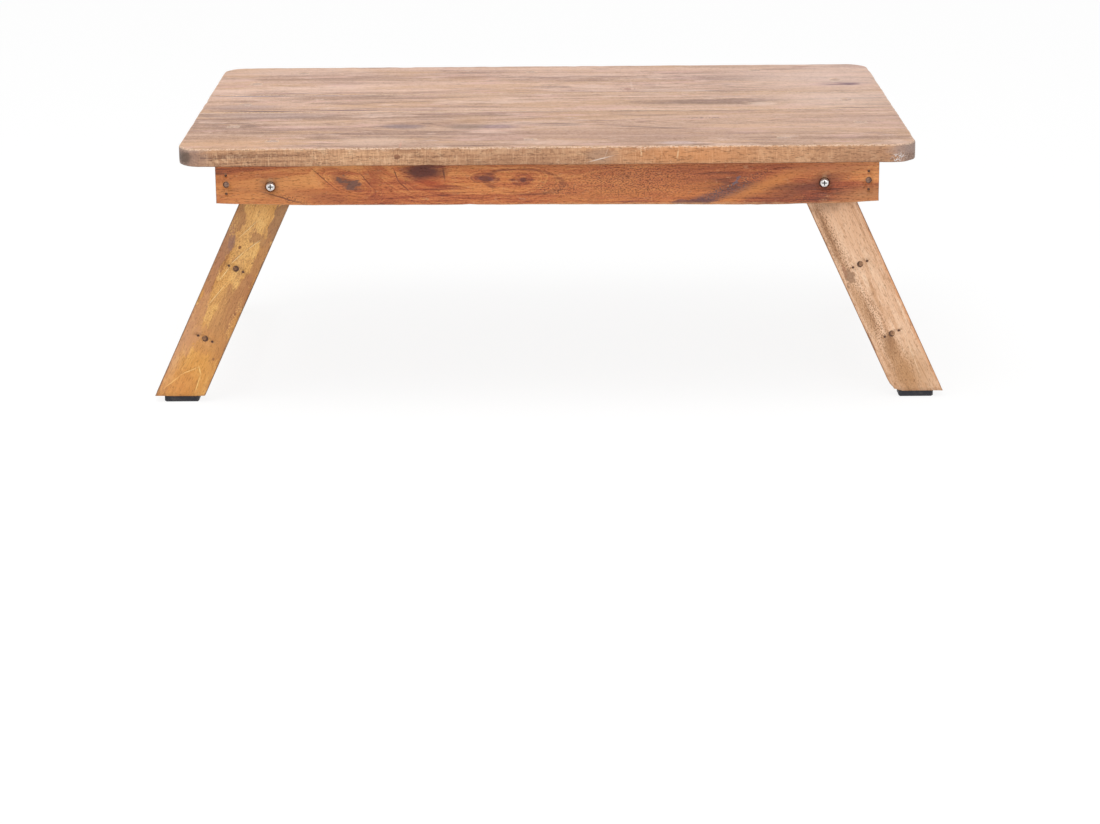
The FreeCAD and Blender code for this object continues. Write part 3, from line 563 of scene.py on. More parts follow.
FINISHES["plank_rear"] = plank(
    "plank_rear", 156.3, 94,
    [(226, 188, 165), (214, 173, 149), (201, 160, 136), (182, 143, 120), (150, 114, 96)],
    [(192, 132, 84), (166, 106, 64), (142, 88, 52), (112, 70, 46), (70, 48, 40)],
    [
        ("stain", (-302, 9), (38, 8), (164, 122, 94), 0.75),
        ("stain", (-92, 17), (32, 10), (168, 126, 96), 0.75),
        ("line", (128, -72), (36, 2.2), (232, 206, 190), 0.7, 4),
        ("line", (96, -44), (1.6, 34), (222, 194, 178), 0.45),
        ("streaks", (138, -80), (52, 8), (226, 200, 186), 0.8),
        ("glow", (310, 0), (100, 90), (234, 202, 186), 0.6),
        ("knot", (91, -69), (4.5, 9), (170, 120, 104), 0.7),
        ("ring", (91, -69), (8, 13), (168, 128, 116), 0.6),
        ("stain", (330, -48), (40, 16), (222, 180, 170), 0.5),
        ("stain", (341, -46), (13, 7), (104, 72, 84), 0.85),
        ("streaks", (334, -44), (34, 12), (120, 84, 90), 0.9, 6),
        ("line", (296, 74), (14, 3.4), (140, 84, 74), 0.85),
        ("streaks", (276, 60), (34, 8), (150, 108, 94), 0.8),
        ("glow", (-312, 58), (66, 20), (224, 188, 168), 0.5),
    ],
    [
        ("stain", (60, -80), (270, 15), (80, 58, 48), 0.85),
        ("blotch", (40, -82), (190, 11), (66, 48, 42), 0.7, 2),
        ("streaks", (150, -76), (150, 14), (58, 42, 38), 0.9),
        ("streaks", (-170, -70), (120, 16), (66, 48, 42), 0.9, 3),
        ("ticks", (-40, -74), (240, 22), (50, 36, 34), 0.95),
        ("streaks", (-60, 30), (120, 24), (112, 76, 50), 0.6),
        ("glow", (250, -86), (60, 10), (188, 116, 62), 0.7),
        ("streaks", (-262, -80), (70, 12), (214, 160, 104), 0.8),
        ("blotch", (306, -72), (15, 13), (58, 40, 32), 0.9, 30),
        ("stain", (304, -74), (10, 7), (150, 104, 58), 0.85, 30),
        ("specks", (305, -74), (11, 9), (214, 172, 96), 0.9, 30),
        ("blotch", (326, -60), (9, 16), (48, 34, 30), 0.85),
        ("glow", (-180, 0), (90, 40), (176, 112, 66), 0.5),
        ("glow", (60, -10), (70, 30), (170, 104, 62), 0.5),
        ("knot", (6, -58), (6, 4), (196, 154, 112), 0.8),
        ("ring", (6, -58), (9, 6), (96, 66, 50), 0.6),
        ("line", (352, -46), (22, 1.2), (52, 38, 36), 0.9),
        ("line", (350, -30), (20, 1.0), (60, 44, 40), 0.8, 2),
        ("line", (352, -66), (24, 1.4), (48, 36, 34), 0.85),
        ("stain", (-350, -76), (28, 8), (62, 46, 42), 0.8),
        ("glow", (-345, 20), (36, 50), (140, 110, 92), 0.5),
        ("glow", (345, 30), (36, 50), (196, 164, 136), 0.5),
    ],
    sawn=0.35, under_strength=1.0, pith=(-40.0, -40.0), tilt=(-0.01, -0.05), seed=7.7, wave=4.0,
)


# The apron frame

RED = [(238, 164, 98), (220, 140, 82), (199, 114, 68), (168, 86, 54), (108, 56, 44)]
TAN = [(208, 170, 134), (194, 154, 118), (180, 138, 103), (156, 114, 84), (120, 84, 62)]
FRAME_TINTS = [((206, 170, 130), 0.45, (60, 9), 0.52, 0.66), ((118, 84, 64), 0.5, (50, 7), 0.56, 0.68)]
INNER_TINTS = [((206, 118, 60), 0.5, (60, 16), 0.52, 0.66), ((84, 54, 44), 0.65, (44, 8), 0.56, 0.68)]

LONG_APRON = (APRON_HALF_LENGTH, APRON_HALF_DEPTH, APRON_HALF_THICKNESS)
END_APRON = (END_APRON_HALF_LENGTH, APRON_HALF_DEPTH, APRON_HALF_THICKNESS)

board = Board(
    "apron_front_wood", X, Z, (0, -210, 238), LONG_APRON,
    pith=(-10.0, 42.0), tilt=(0.05, -0.03), seed=2.6, ring=6.0, wave=4.5,
    eyes=[
        ((-116, 20), (62, 24), -16, 20.0), ((-205, 0), (17, 6), -22, 5.0),
        ((-64, 4.5), (15, 7), 0, 4.5), ((-26, 2), (15, 8), 8, 4.5),
    ],
)
colour = board.ramp(board.tone(zones=1.3, rings=0.9, lines=0.4, cloud=1.6, streak=0.7, fibre=0.6), RED)
colour = board.tints(colour, [
    ((224, 140, 72), 0.5, (60, 14), 0.5, 0.66),
    ((122, 66, 54), 0.45, (34, 8), 0.58, 0.7),
    ((212, 156, 114), 0.5, (5, 3), 0.58, 0.68),
])
colour = board.marks(colour, [
    ("glow", (-290, -8), (56, 20), (206, 134, 78), 0.6, -6),
    # A dark band along the apron's upper edge: painted shadow of the top.
    ("glow", (0, 26), (340, 9), (126, 80, 58), 0.6),
    ("line", (-272, -15), (32, 0.9), (116, 66, 46), 0.8, -17),
    ("specks", (-262, -17), (24, 3), (104, 66, 50), 0.8, -14),
    ("line", (-230, 5), (20, 0.6), (104, 58, 42), 0.8, -42),
    ("glow", (-224, -16), (34, 7), (150, 84, 58), 0.45, -12),
    ("line", (-186, 3), (14, 0.7), (100, 52, 40), 0.85, -50),
    ("stain", (-205, 0), (17, 6), (148, 90, 62), 0.9, -22),
    ("blotch", (-209, 2.5), (8, 2.8), (112, 84, 74), 0.7, -28),
    ("blotch", (-197, -2.5), (8, 3.2), (116, 84, 74), 0.75, -16),
    ("glow", (-178, 6), (9, 14), (160, 78, 50), 0.55, -20),
    ("line", (-155, 8), (9, 0.8), (104, 48, 38), 0.8, -68),
    ("line", (-147, -4), (11, 0.8), (104, 48, 38), 0.8, -44),
    ("line", (-141, -4), (12, 0.6), (224, 134, 84), 0.6, -42),
    ("stain", (-127, 11), (23, 10.5), (96, 46, 40), 0.95),
    ("glow", (-120, -2), (16, 6), (190, 84, 44), 0.65),
    ("line", (-106, 8), (1.2, 8), (86, 44, 38), 0.7, 10),
    ("streaks", (-108, -8), (30, 6), (126, 60, 44), 0.7),
    ("stain", (-64, 3.5), (13, 4.6), (134, 70, 58), 0.85, -4),
    ("knot", (-63, 3.2), (8, 2.6), (112, 66, 64), 0.8, -6),
    ("ring", (-64, 3.5), (14, 5.6), (140, 76, 54), 0.6, -4),
    ("line", (-36, 1.8), (5, 1.3), (92, 42, 38), 0.9),
    ("line", (-16, 1.6), (5, 0.9), (92, 42, 38), 0.85, 4),
    ("stain", (-25, 1.6), (9, 3.0), (126, 60, 50), 0.75, 4),
    ("knot", (-25, 1.6), (3.6, 2.6), (100, 52, 50), 0.85),
    ("ring", (-24, 0), (40, 13), (130, 70, 48), 0.7, -4),
    ("specks", (10, -8), (26, 9), (88, 54, 42), 0.8, -8),
    ("glow", (60, -12), (50, 6), (206, 130, 74), 0.55, 8),
    ("glow", (96, 0), (110, 24), (200, 124, 78), 0.35),
    ("specks", (90, 0), (80, 22), (100, 62, 48), 0.7),
    ("streaks", (86, -20), (20, 3.4), (112, 64, 66), 0.7),
    ("stain", (178, -15), (40, 5.5), (126, 80, 72), 0.75, 14),
    ("blotch", (152, -22), (26, 2.6), (104, 68, 70), 0.75, 2),
    ("specks", (186, -11), (38, 9), (94, 80, 84), 0.9, 16),
    ("blotch", (195, 0), (2.6, 4.4), (112, 104, 116), 0.7, -16),
    ("specks", (214, 4), (18, 5), (88, 62, 54), 0.8, 20),
    ("glow", (226, -4), (52, 6), (216, 138, 76), 0.85, 22),
    ("glow", (262, -9), (56, 7), (134, 72, 52), 0.75, 20),
    ("glow", (296, 13), (46, 5), (198, 126, 86), 0.6, 4),
    ("glow", (326, -16), (34, 9), (190, 134, 88), 0.7, 8),
    # Dark soft patches round the two pivot screw heads: painted shade round the heads.
    ("glow", (-286, -2), (9, 9), (122, 76, 56), 0.6),
    ("glow", (283, -2), (9, 9), (122, 76, 56), 0.5),
])
below = board.tints(board.ramp(board.tone(zones=0.6, rings=0.5), TAN), FRAME_TINTS)
below = board.marks(below, [
    ("ticks", (-30, 4), (190, 8), (104, 76, 68), 0.8),
    ("stain", (126, -2), (38, 7), (112, 80, 66), 0.7),
    ("stain", (217, 0), (34, 8), (122, 86, 68), 0.6),
    ("streaks", (-250, 2), (90, 9), (116, 86, 72), 0.6),
], "narrow")
colour = board.on(-Z, colour, below)
colour = (board.rim(2.2) * 0.6).over(colour, paint(214, 160, 112))
colour = board.ends(colour, (156, 104, 74), (112, 72, 54))
FINISHES["apron_front"] = board.finish(colour, roughness=0.42, pores=0.4, pore_tint=(96, 54, 38))


def frame_board(name, along, place, half, inner_way, inner_tones, **grain):
    """A plain board of the apron frame: tan outside and below, more orange inside."""
    board = Board(name, along, Z, place, half, **grain)
    outer = board.ramp(board.tone(zones=0.7, rings=0.6, lines=0.4, cloud=1.3), TAN)
    inner = board.ramp(board.tone(rings=1.1, lines=0.5, cloud=1.6, streak=1.0), inner_tones)
    colour = board.tints(outer, FRAME_TINTS)
    inner = board.tints(inner, INNER_TINTS)
    colour = board.on(inner_way, colour, inner)
    colour = (board.rim(3.2) * 0.6).over(colour, paint(214, 180, 144))
    colour = board.ends(colour, (160, 120, 90), (118, 86, 66))
    return board.finish(colour, roughness=0.5, pores=0.35, sawn=0.12)


FINISHES["apron_back"] = frame_board(
    "apron_back_wood", X, (0, 210, APRON_MIDDLE), LONG_APRON, -Y,
    [(202, 148, 96), (188, 132, 80), (172, 116, 68), (148, 94, 56), (108, 68, 46)],
    pith=(10.0, 46.0), tilt=(-0.015, 0.02), seed=5.2, wave=3.4,
)
INNER_END = [(210, 152, 104), (194, 132, 86), (174, 112, 70), (148, 90, 56), (104, 64, 46)]
FINISHES["apron_left"] = frame_board(
    "apron_left_wood", Y, (-CORNER_PLUGS_AT, 0, APRON_MIDDLE), END_APRON, X, INNER_END,
    pith=(-14.0, 38.0), tilt=(0.03, -0.02), seed=8.4, wave=3.4,
)
FINISHES["apron_right"] = frame_board(
    "apron_right_wood", Y, (CORNER_PLUGS_AT, 0, APRON_MIDDLE), END_APRON, -X, INNER_END,
    pith=(16.0, -38.0), tilt=(-0.03, -0.02), seed=11.9, wave=3.4,
)


# The leg frames


def leg_axes(side, depth):
    """A leg's own axes at rest, down it and towards the table's middle, and its pivot in mm."""
    down = Vector((side * math.sin(LEAN), 0.0, -math.cos(LEAN)))
    inward = Vector((-side * math.cos(LEAN), 0.0, -math.sin(LEAN)))
    return down, inward, Vector((side * PIVOT[0], depth, PIVOT[1]))


def leg(name, side, depth, tones, tints, marks, narrow, rim, rim_strength=0.5, roughness=0.45, **grain):
    """A leg, its grain down its length, with its narrow sides in their own tones."""
    down, inward, pivot = leg_axes(side, depth)
    half = (254, (LEG_INNER + LEG_OUTER) / 2, LEG_HALF_THICKNESS)
    board = Board(name, down, inward, pivot, half, **grain)
    tone = board.tone(zones=0.8, rings=0.6, lines=0.4, cloud=1.2, streak=0.7, fibre=0.7)
    colour = board.marks(board.tints(board.ramp(tone, tones), tints), marks)
    edge = board.tints(board.ramp(tone, narrow), FRAME_TINTS)
    squarely = abs(facing(board.start, inward))
    colour = squarely.rise(0.45, 0.85).over(colour, edge)
    # Along the long edges, the rim colour: pale rubbed edges on most legs, painted shade on the left front
    # leg.
    colour = (board.rim(2.0, (LEG_INNER - LEG_OUTER) / 2) * rim_strength).over(colour, paint(*rim))
    foot = facing(board.start, down).rise(0.6, 0.85)
    colour = board.ends(colour, (184, 134, 90), (134, 94, 64), foot)
    return board.finish(colour, roughness=roughness, pores=0.3, pore_tint=(120, 78, 50))


FINISHES["left_leg_front"] = leg(
    "leg_left_front_wood", -1, -LEGS_AT,
    [(248, 198, 122), (238, 184, 108), (226, 168, 94), (206, 146, 76), (164, 106, 60)],
    [
        ((176, 122, 80), 0.6, (16, 9), 0.56, 0.60),
        ((250, 202, 126), 0.6, (9, 5), 0.54, 0.60),
        ((150, 100, 66), 0.6, (5, 3), 0.58, 0.64),
        ((206, 146, 84), 0.5, (36, 14), 0.52, 0.60),
    ],
    [
        ("glow", (46, -2), (34, 20), (240, 188, 116), 0.6),
        ("glow", (88, 4), (30, 12), (234, 180, 108), 0.5),
        ("glow", (138, -5), (30, 9), (230, 172, 98), 0.55, -10),
        ("blotch", (34, 21), (30, 5.5), (164, 118, 84), 0.85),
        ("blotch", (60, 12), (6, 12), (176, 124, 82), 0.75),
        ("blotch", (84, 20), (32, 5), (186, 130, 82), 0.8),
        ("blotch", (130, 17), (34, 7), (184, 126, 82), 0.85),
        ("blotch", (152, 11), (30, 7.5), (182, 126, 80), 0.85, -8),
        ("blotch", (158, 3), (26, 4), (190, 134, 84), 0.75),
        ("blotch", (128, 6), (10, 3), (188, 132, 84), 0.7, 20),
        ("blotch", (82, -18), (26, 6.5), (172, 120, 90), 0.85, 4),
        ("blotch", (74, -14), (8, 3), (150, 112, 98), 0.7),
        ("blotch", (112, -18), (24, 6.5), (182, 126, 90), 0.8),
        ("blotch", (50, -16), (12, 7), (170, 118, 80), 0.75),
        ("blotch", (184, 0), (15, 11), (196, 136, 88), 0.75),
        ("blotch", (184, 17), (18, 8), (188, 128, 80), 0.7),
        ("blotch", (34, -19), (10, 4), (170, 116, 76), 0.7),
        ("blotch", (190, -9), (20, 4.5), (208, 152, 114), 0.75, -4),
        ("blotch", (165, -15), (36, 7), (202, 144, 104), 0.7, 2),
        ("glow", (212, -20), (44, 8), (222, 168, 128), 0.7),
        ("glow", (222, 6), (38, 20), (224, 154, 72), 0.7),
        ("glow", (242, -4), (20, 16), (218, 144, 76), 0.7, -20),
        ("specks", (150, 20), (30, 3.4), (244, 190, 116), 0.9),
        ("specks", (60, -18), (16, 5), (244, 196, 118), 0.7),
        ("specks", (104, 0), (96, 24), (166, 112, 66), 0.45),
        ("streaks", (160, 2), (44, 22), (222, 164, 100), 0.4),
        # Cracks as pale lines; the dark lines just beside three of them are painted shadow in the cracks.
        ("line", (69, 8), (11, 0.6), (255, 226, 170), 0.85, -30),
        ("line", (70, 7), (11, 0.5), (158, 104, 62), 0.7, -30),
        ("line", (88, -1.5), (11, 0.6), (255, 226, 170), 0.85, -22),
        ("line", (89, -2.6), (11, 0.5), (158, 104, 62), 0.7, -22),
        ("line", (108, -7), (12, 0.5), (255, 222, 164), 0.8, -13),
        ("line", (55, -3), (17, 0.5), (255, 222, 164), 0.75, -23),
        ("line", (56, -4), (17, 0.4), (158, 104, 62), 0.6, -23),
        ("line", (134, -6), (18, 0.5), (255, 222, 164), 0.65, -16),
        ("knot", (77, -3.5), (1.8, 1.5), (126, 78, 48), 0.9),
        ("knot", (87, 14.6), (1.3, 1.1), (140, 92, 60), 0.7),
        ("line", (216, 9.6), (6, 0.9), (250, 208, 130), 0.85, 38),
        ("line", (231, 13.4), (12, 0.8), (250, 208, 130), 0.85, 5),
        ("line", (231, 12.2), (12, 0.6), (190, 126, 62), 0.7, 5),
        ("line", (221, 0), (13, 0.8), (250, 204, 128), 0.8, -42),
        ("line", (240, -12), (13, 0.7), (250, 204, 128), 0.75, -28),
        ("line", (222, -2), (13, 0.6), (190, 126, 62), 0.6, -42),
        ("knot", (199, 18), (1.8, 1.4), (150, 98, 62), 0.8),
        ("knot", (145, 19.5), (1.6, 1.2), (130, 84, 54), 0.7),
    ],
    [(200, 158, 118), (184, 140, 100), (168, 124, 86), (142, 100, 70), (104, 72, 54)],
    # The dark rim colour here is painted shade along the leg's rounded long edges.
    (130, 90, 62), 0.7, pith=(4.0, -30.0), tilt=(0.01, 0.05), seed=3.3, wave=4.0,
)
FINISHES["left_leg_back"] = leg(
    "leg_left_back_wood", -1, LEGS_AT,
    [(202, 150, 96), (186, 132, 80), (166, 113, 67), (142, 94, 58), (104, 70, 48)],
    [((192, 146, 86), 0.4, (40, 12), 0.52, 0.68), ((120, 80, 54), 0.5, (26, 8), 0.54, 0.68)],
    [
        ("glow", (50, 17), (44, 8), (182, 124, 70), 0.6),
        ("glow", (54, 6), (34, 7), (132, 94, 72), 0.75),
        ("streaks", (82, 4), (16, 7), (92, 64, 50), 0.8),
        ("specks", (82, 0), (10, 5), (222, 192, 150), 0.9),
        ("glow", (40, -15), (56, 9), (188, 158, 96), 0.75),
        ("specks", (50, -12), (44, 9), (206, 170, 104), 0.6),
        ("stain", (148, 19), (20, 7), (78, 50, 32), 0.85),
        ("glow", (142, 4), (30, 8), (136, 104, 62), 0.6),
        ("specks", (142, -13), (30, 7), (84, 54, 46), 0.9),
        ("specks", (152, -12), (20, 7), (206, 170, 116), 0.7),
        ("streaks", (140, -21), (32, 2.6), (196, 132, 64), 0.8),
        ("glow", (228, 15), (40, 13), (182, 108, 54), 0.75),
        ("streaks", (212, 1), (18, 4), (92, 64, 46), 0.85),
        ("glow", (232, -18), (36, 7), (86, 72, 50), 0.8),
    ],
    [(216, 176, 136), (200, 158, 118), (182, 140, 104), (152, 110, 80), (108, 76, 56)],
    (196, 156, 116), pith=(-6.0, 30.0), tilt=(0.02, 0.03), seed=6.6, wave=3.6,
)
FINISHES["right_leg_front"] = leg(
    "leg_right_front_wood", 1, -LEGS_AT,
    [(255, 222, 190), (248, 208, 174), (240, 196, 160), (224, 176, 138), (184, 138, 104)],
    [
        ((206, 156, 114), 0.45, (26, 9), 0.54, 0.64),
        ((255, 222, 190), 0.5, (30, 5), 0.53, 0.64),
        ((170, 122, 86), 0.5, (5, 3), 0.58, 0.66),
    ],
    [
        ("glow", (40, -2), (60, 22), (228, 178, 138), 0.55),
        ("streaks", (56, 19), (36, 3.6), (146, 100, 70), 0.85),
        ("stain", (70, 18), (44, 5), (190, 142, 102), 0.6),
        ("specks", (64, 17), (54, 8), (140, 98, 68), 0.85),
        ("specks", (140, 15), (90, 9), (160, 116, 82), 0.75),
        ("blotch", (108, 16.5), (10, 5), (160, 122, 94), 0.8, 4),
        ("blotch", (99, 19), (6, 2), (170, 120, 90), 0.7),
        ("streaks", (152, 15), (22, 4), (150, 106, 74), 0.8),
        ("stain", (150, 17), (34, 6), (196, 148, 106), 0.6),
        ("specks", (165, 10), (44, 10), (156, 112, 78), 0.8),
        ("stain", (196, 9), (18, 8), (178, 132, 92), 0.8, 8),
        ("blotch", (192, 7), (8, 5), (166, 120, 84), 0.6, 8),
        ("stain", (228, 8), (22, 9), (188, 142, 100), 0.7),
        ("specks", (220, 5), (36, 16), (150, 106, 72), 0.85),
        ("glow", (232, 0), (34, 26), (198, 148, 102), 0.75),
        ("glow", (150, -23), (120, 3), (222, 150, 96), 0.75),
        ("line", (214, -9), (30, 0.6), (250, 214, 176), 0.6, 4),
        ("line", (236, -12), (22, 0.6), (186, 138, 98), 0.7, -3),
        ("line", (226, -3), (20, 0.5), (186, 138, 98), 0.6, 8),
        ("glow", (26, 0), (9, 26), (126, 90, 64), 0.5),
        ("line", (100, -23.5), (60, 0.8), (150, 96, 60), 0.6),
    ],
    [(226, 172, 116), (206, 150, 98), (190, 134, 86), (160, 108, 70), (112, 76, 54)],
    (212, 148, 98), roughness=0.5, pith=(-20.0, -60.0), tilt=(0.02, 0.03), seed=9.1, ring=6.0, wave=2.4,
)
FINISHES["right_leg_back"] = leg(
    "leg_right_back_wood", 1, LEGS_AT,
    [(222, 158, 98), (204, 138, 80), (184, 118, 66), (154, 96, 56), (110, 70, 46)],
    [((214, 156, 86), 0.4, (40, 12), 0.52, 0.68), ((128, 82, 54), 0.5, (26, 8), 0.54, 0.68)],
    [
        ("glow", (44, 20), (44, 6), (146, 120, 78), 0.75),
        ("glow", (24, -16), (44, 8), (216, 152, 64), 0.7),
        ("streaks", (44, 4), (44, 8), (150, 88, 50), 0.7),
        ("line", (19, -18), (1.0, 8), (96, 62, 40), 0.6),
        ("stain", (122, 16), (12, 14), (52, 36, 38), 0.85),
        ("stain", (118, -2), (5, 16), (70, 48, 38), 0.6),
        ("glow", (148, 8), (26, 9), (122, 84, 52), 0.6),
        ("glow", (136, -14), (30, 9), (196, 142, 86), 0.7),
        ("streaks", (150, 4), (24, 14), (96, 64, 42), 0.8, -30),
        ("glow", (226, 18), (36, 8), (160, 102, 58), 0.6),
        ("glow", (228, -4), (34, 10), (224, 144, 62), 0.8),
        ("glow", (200, -2), (12, 14), (168, 92, 40), 0.5),
        ("glow", (244, 18), (14, 8), (214, 166, 124), 0.6),
    ],
    [(222, 184, 146), (206, 166, 128), (188, 146, 108), (158, 116, 84), (112, 80, 60)],
    (200, 160, 120), pith=(8.0, 34.0), tilt=(-0.02, 0.03), seed=12.4, wave=3.6,
)

BAR = [(216, 178, 142), (200, 160, 124), (184, 142, 108), (160, 119, 88), (118, 86, 68)]


def crossbar(name, side, reach, extra, seed, lean=0.05):
    """A flat bar between two legs, on edge across their faces."""
    down, inward, pivot = leg_axes(side, 0.0)
    grain = {"pith": (-22.0, 30.0), "tilt": (0.03, lean), "seed": seed, "wave": 3.2}
    board = Board(name, Y, inward, pivot + down * reach, BAR_HALF_SIZES, **grain)
    tone = board.tone(zones=0.8, rings=0.8, lines=0.4)
    colour = board.tints(board.ramp(tone, BAR), FRAME_TINTS + extra)
    colour = (board.rim(3.0) * 0.6).over(colour, paint(218, 182, 146))
    return board.finish(colour, roughness=0.55, pores=0.35, sawn=0.12)


GREYED = [((122, 96, 82), 0.7, (120, 7), 0.48, 0.62)]
STREAKED = [((124, 84, 56), 0.6, (60, 5), 0.52, 0.62)]
UPPER, LOWER = BAR_REACHES
FINISHES |= {
    "left_crossbar_upper": crossbar("crossbar_left_upper_wood", -1, UPPER, GREYED, 15.3),
    "left_crossbar_lower": crossbar("crossbar_left_lower_wood", -1, LOWER, [], 18.9),
    "right_crossbar_upper": crossbar("crossbar_right_upper_wood", 1, UPPER, STREAKED, 21.7, 0.3),
    "right_crossbar_lower": crossbar("crossbar_right_lower_wood", 1, LOWER, [], 27.1),
}


# Plugs, nails, steel and rubber


def plug_wood(name, light, dark, rims=None):
    """A plug's end grain, cloudy and darker than the board, with a dark rim.

    rims are the row of the plugs' centres: its direction, the one across it, its start in mm and how
    far along it the two centres are.
    """
    material, start = new_finish(name)
    place = start.place()
    cloud = place.noise(450.0, 3.0, 0.6)
    colour = cloud.rise(0.35, 0.65).over(paint(*light), paint(*dark))
    if rims:
        along, across, middle, reaches = rims
        offset = place.counted_from(middle)
        down_row, off_row = offset.along(along), offset.along(across)
        first, second = (start.joined(down_row - reach * MM, off_row).length() for reach in reaches)
        out = first.least(second) + (cloud - 0.5) * 0.001
        colour = out.rise(2.0 * MM, 2.9 * MM, 0.85).over(colour, paint(74, 48, 38))
    close_finish(start, colour, cloud * 0.2 + 0.5, cloud)
    return material


FINISHES |= {
    "top_plugs": plug_wood("top_plug_wood", (204, 172, 154), (176, 144, 128)),
    "apron_plugs": plug_wood(
        "apron_plug_wood", (166, 132, 112), (118, 88, 74),
        (X, Z, (0, 0, APRON_MIDDLE), (-CORNER_PLUGS_AT, CORNER_PLUGS_AT)),
    ),
    "left_crossbar_plugs": plug_wood(
        "left_plug_wood", (152, 108, 74), (100, 72, 54), (*leg_axes(-1, 0.0), BAR_REACHES),
    ),
    "right_crossbar_plugs": plug_wood(
        "right_plug_wood", (190, 146, 108), (140, 102, 76), (*leg_axes(1, 0.0), BAR_REACHES),
    ),
}

nail_steel, start = new_finish("nail_steel")
rust = start.place().noise(900.0, 3.0, 0.6)
colour = rust.rise(0.4, 0.62).over(paint(116, 88, 74), paint(78, 48, 38))
close_finish(start, colour, rust * 0.3 + 0.4, rust, depth=0.1, metal=0.6)

zinc_steel, start = new_finish("zinc_steel")
place = start.place()
cloud = place.noise(300.0, 3.0, 0.6)
grit = place.noise(2600.0, 2.0, 0.6)
colour = cloud.rise(0.35, 0.7).over(paint(238, 236, 234), paint(204, 200, 198))
# The cross recess of each pivot screw, and the foot of the head where it sits in its counterbore, get
# painted shade.
offset = place.vector("ABSOLUTE").counted_from((PIVOT[0], 0.0, PIVOT[1]))
off_axis = offset.scaled(1.0, 0.0, 1.0).length()
from_middle = offset.node("SeparateXYZ", {}, {0: offset}, "Y")
near_axis = off_axis.rise(2.95 * MM, 2.75 * MM)
under_face = from_middle.rise(221.3 * MM, 221.0 * MM)
over_floor = from_middle.rise(218.6 * MM, 218.8 * MM)
recess_shade = near_axis * under_face * over_floor
head_edge = off_axis.rise(4.5 * MM, 4.95 * MM)
foot = head_edge * from_middle.rise(219.6 * MM, 218.9 * MM) * 0.7
colour = recess_shade.most(foot).over(colour, paint(46, 40, 38))
close_finish(start, colour, grit * 0.16 + 0.18, grit, depth=0.03, metal=0.85, shine=0.6)

foot_rubber, start = new_finish("foot_rubber")
grain = start.place().noise(1400.0, 3.0, 0.6)
dust = start.place().noise(120.0, 3.0, 0.6)
colour = dust.rise(0.45, 0.75).over(paint(44, 44, 50), paint(74, 70, 70))
close_finish(start, colour, grain * 0.2 + 0.5, grain, depth=0.1)


# Worn boards

EDGE_REACH = 5.0 * MM


class Side:
    """A flat side of a board, by a point on it in mm and the way it faces."""

    def __init__(self, point, normal, strength=1.0):
        self.point, self.normal, self.strength = Vector(point) * MM, Vector(normal), strength

    def inset(self, place):
        """How deep a place lies under the side, and the side's direction there."""
        return (self.point - place).dot(self.normal), self.normal


class Outline(Side):
    """The top's outline, whose corners are round."""

    def inset(self, place):
        straight_x = (TOP_HALF_LENGTH - TOP_CORNER) * MM
        straight_y = (TOP_HALF_WIDTH - TOP_CORNER) * MM
        corner = Vector((abs(place.x) - straight_x, abs(place.y) - straight_y, 0.0))
        if corner.x > 0 and corner.y > 0:
            depth, normal = TOP_CORNER * MM - corner.length, corner.normalized()
        elif corner.x > corner.y:
            depth, normal = TOP_CORNER * MM - corner.x, X
        else:
            depth, normal = TOP_CORNER * MM - corner.y, Y
        return depth, Vector((math.copysign(normal.x, place.x), math.copysign(normal.y, place.y), 0.0))


def fade(value):
    """1 at nothing, smoothly down to 0 at 1."""
    value = min(max(value, 0.0), 1.0)
    return 1.0 - value * value * (3.0 - 2.0 * value)


def rubbed(place, seed):
    """How much an edge is rubbed away near a place: a little all along, more in dents."""
    long_wave = noise.noise(place * 32.0 + Vector((seed, 0.0, 0.0)))
    short_wave = noise.noise(place * 120.0 + Vector((0.0, seed, 0.0)))
    dent = max(0.0, noise.noise(place * 55.0 + Vector((0.0, 0.0, seed))) - 0.2)
    return max(0.0, 0.3 + 0.5 * long_wave + 0.3 * short_wave + 1.8 * dent)


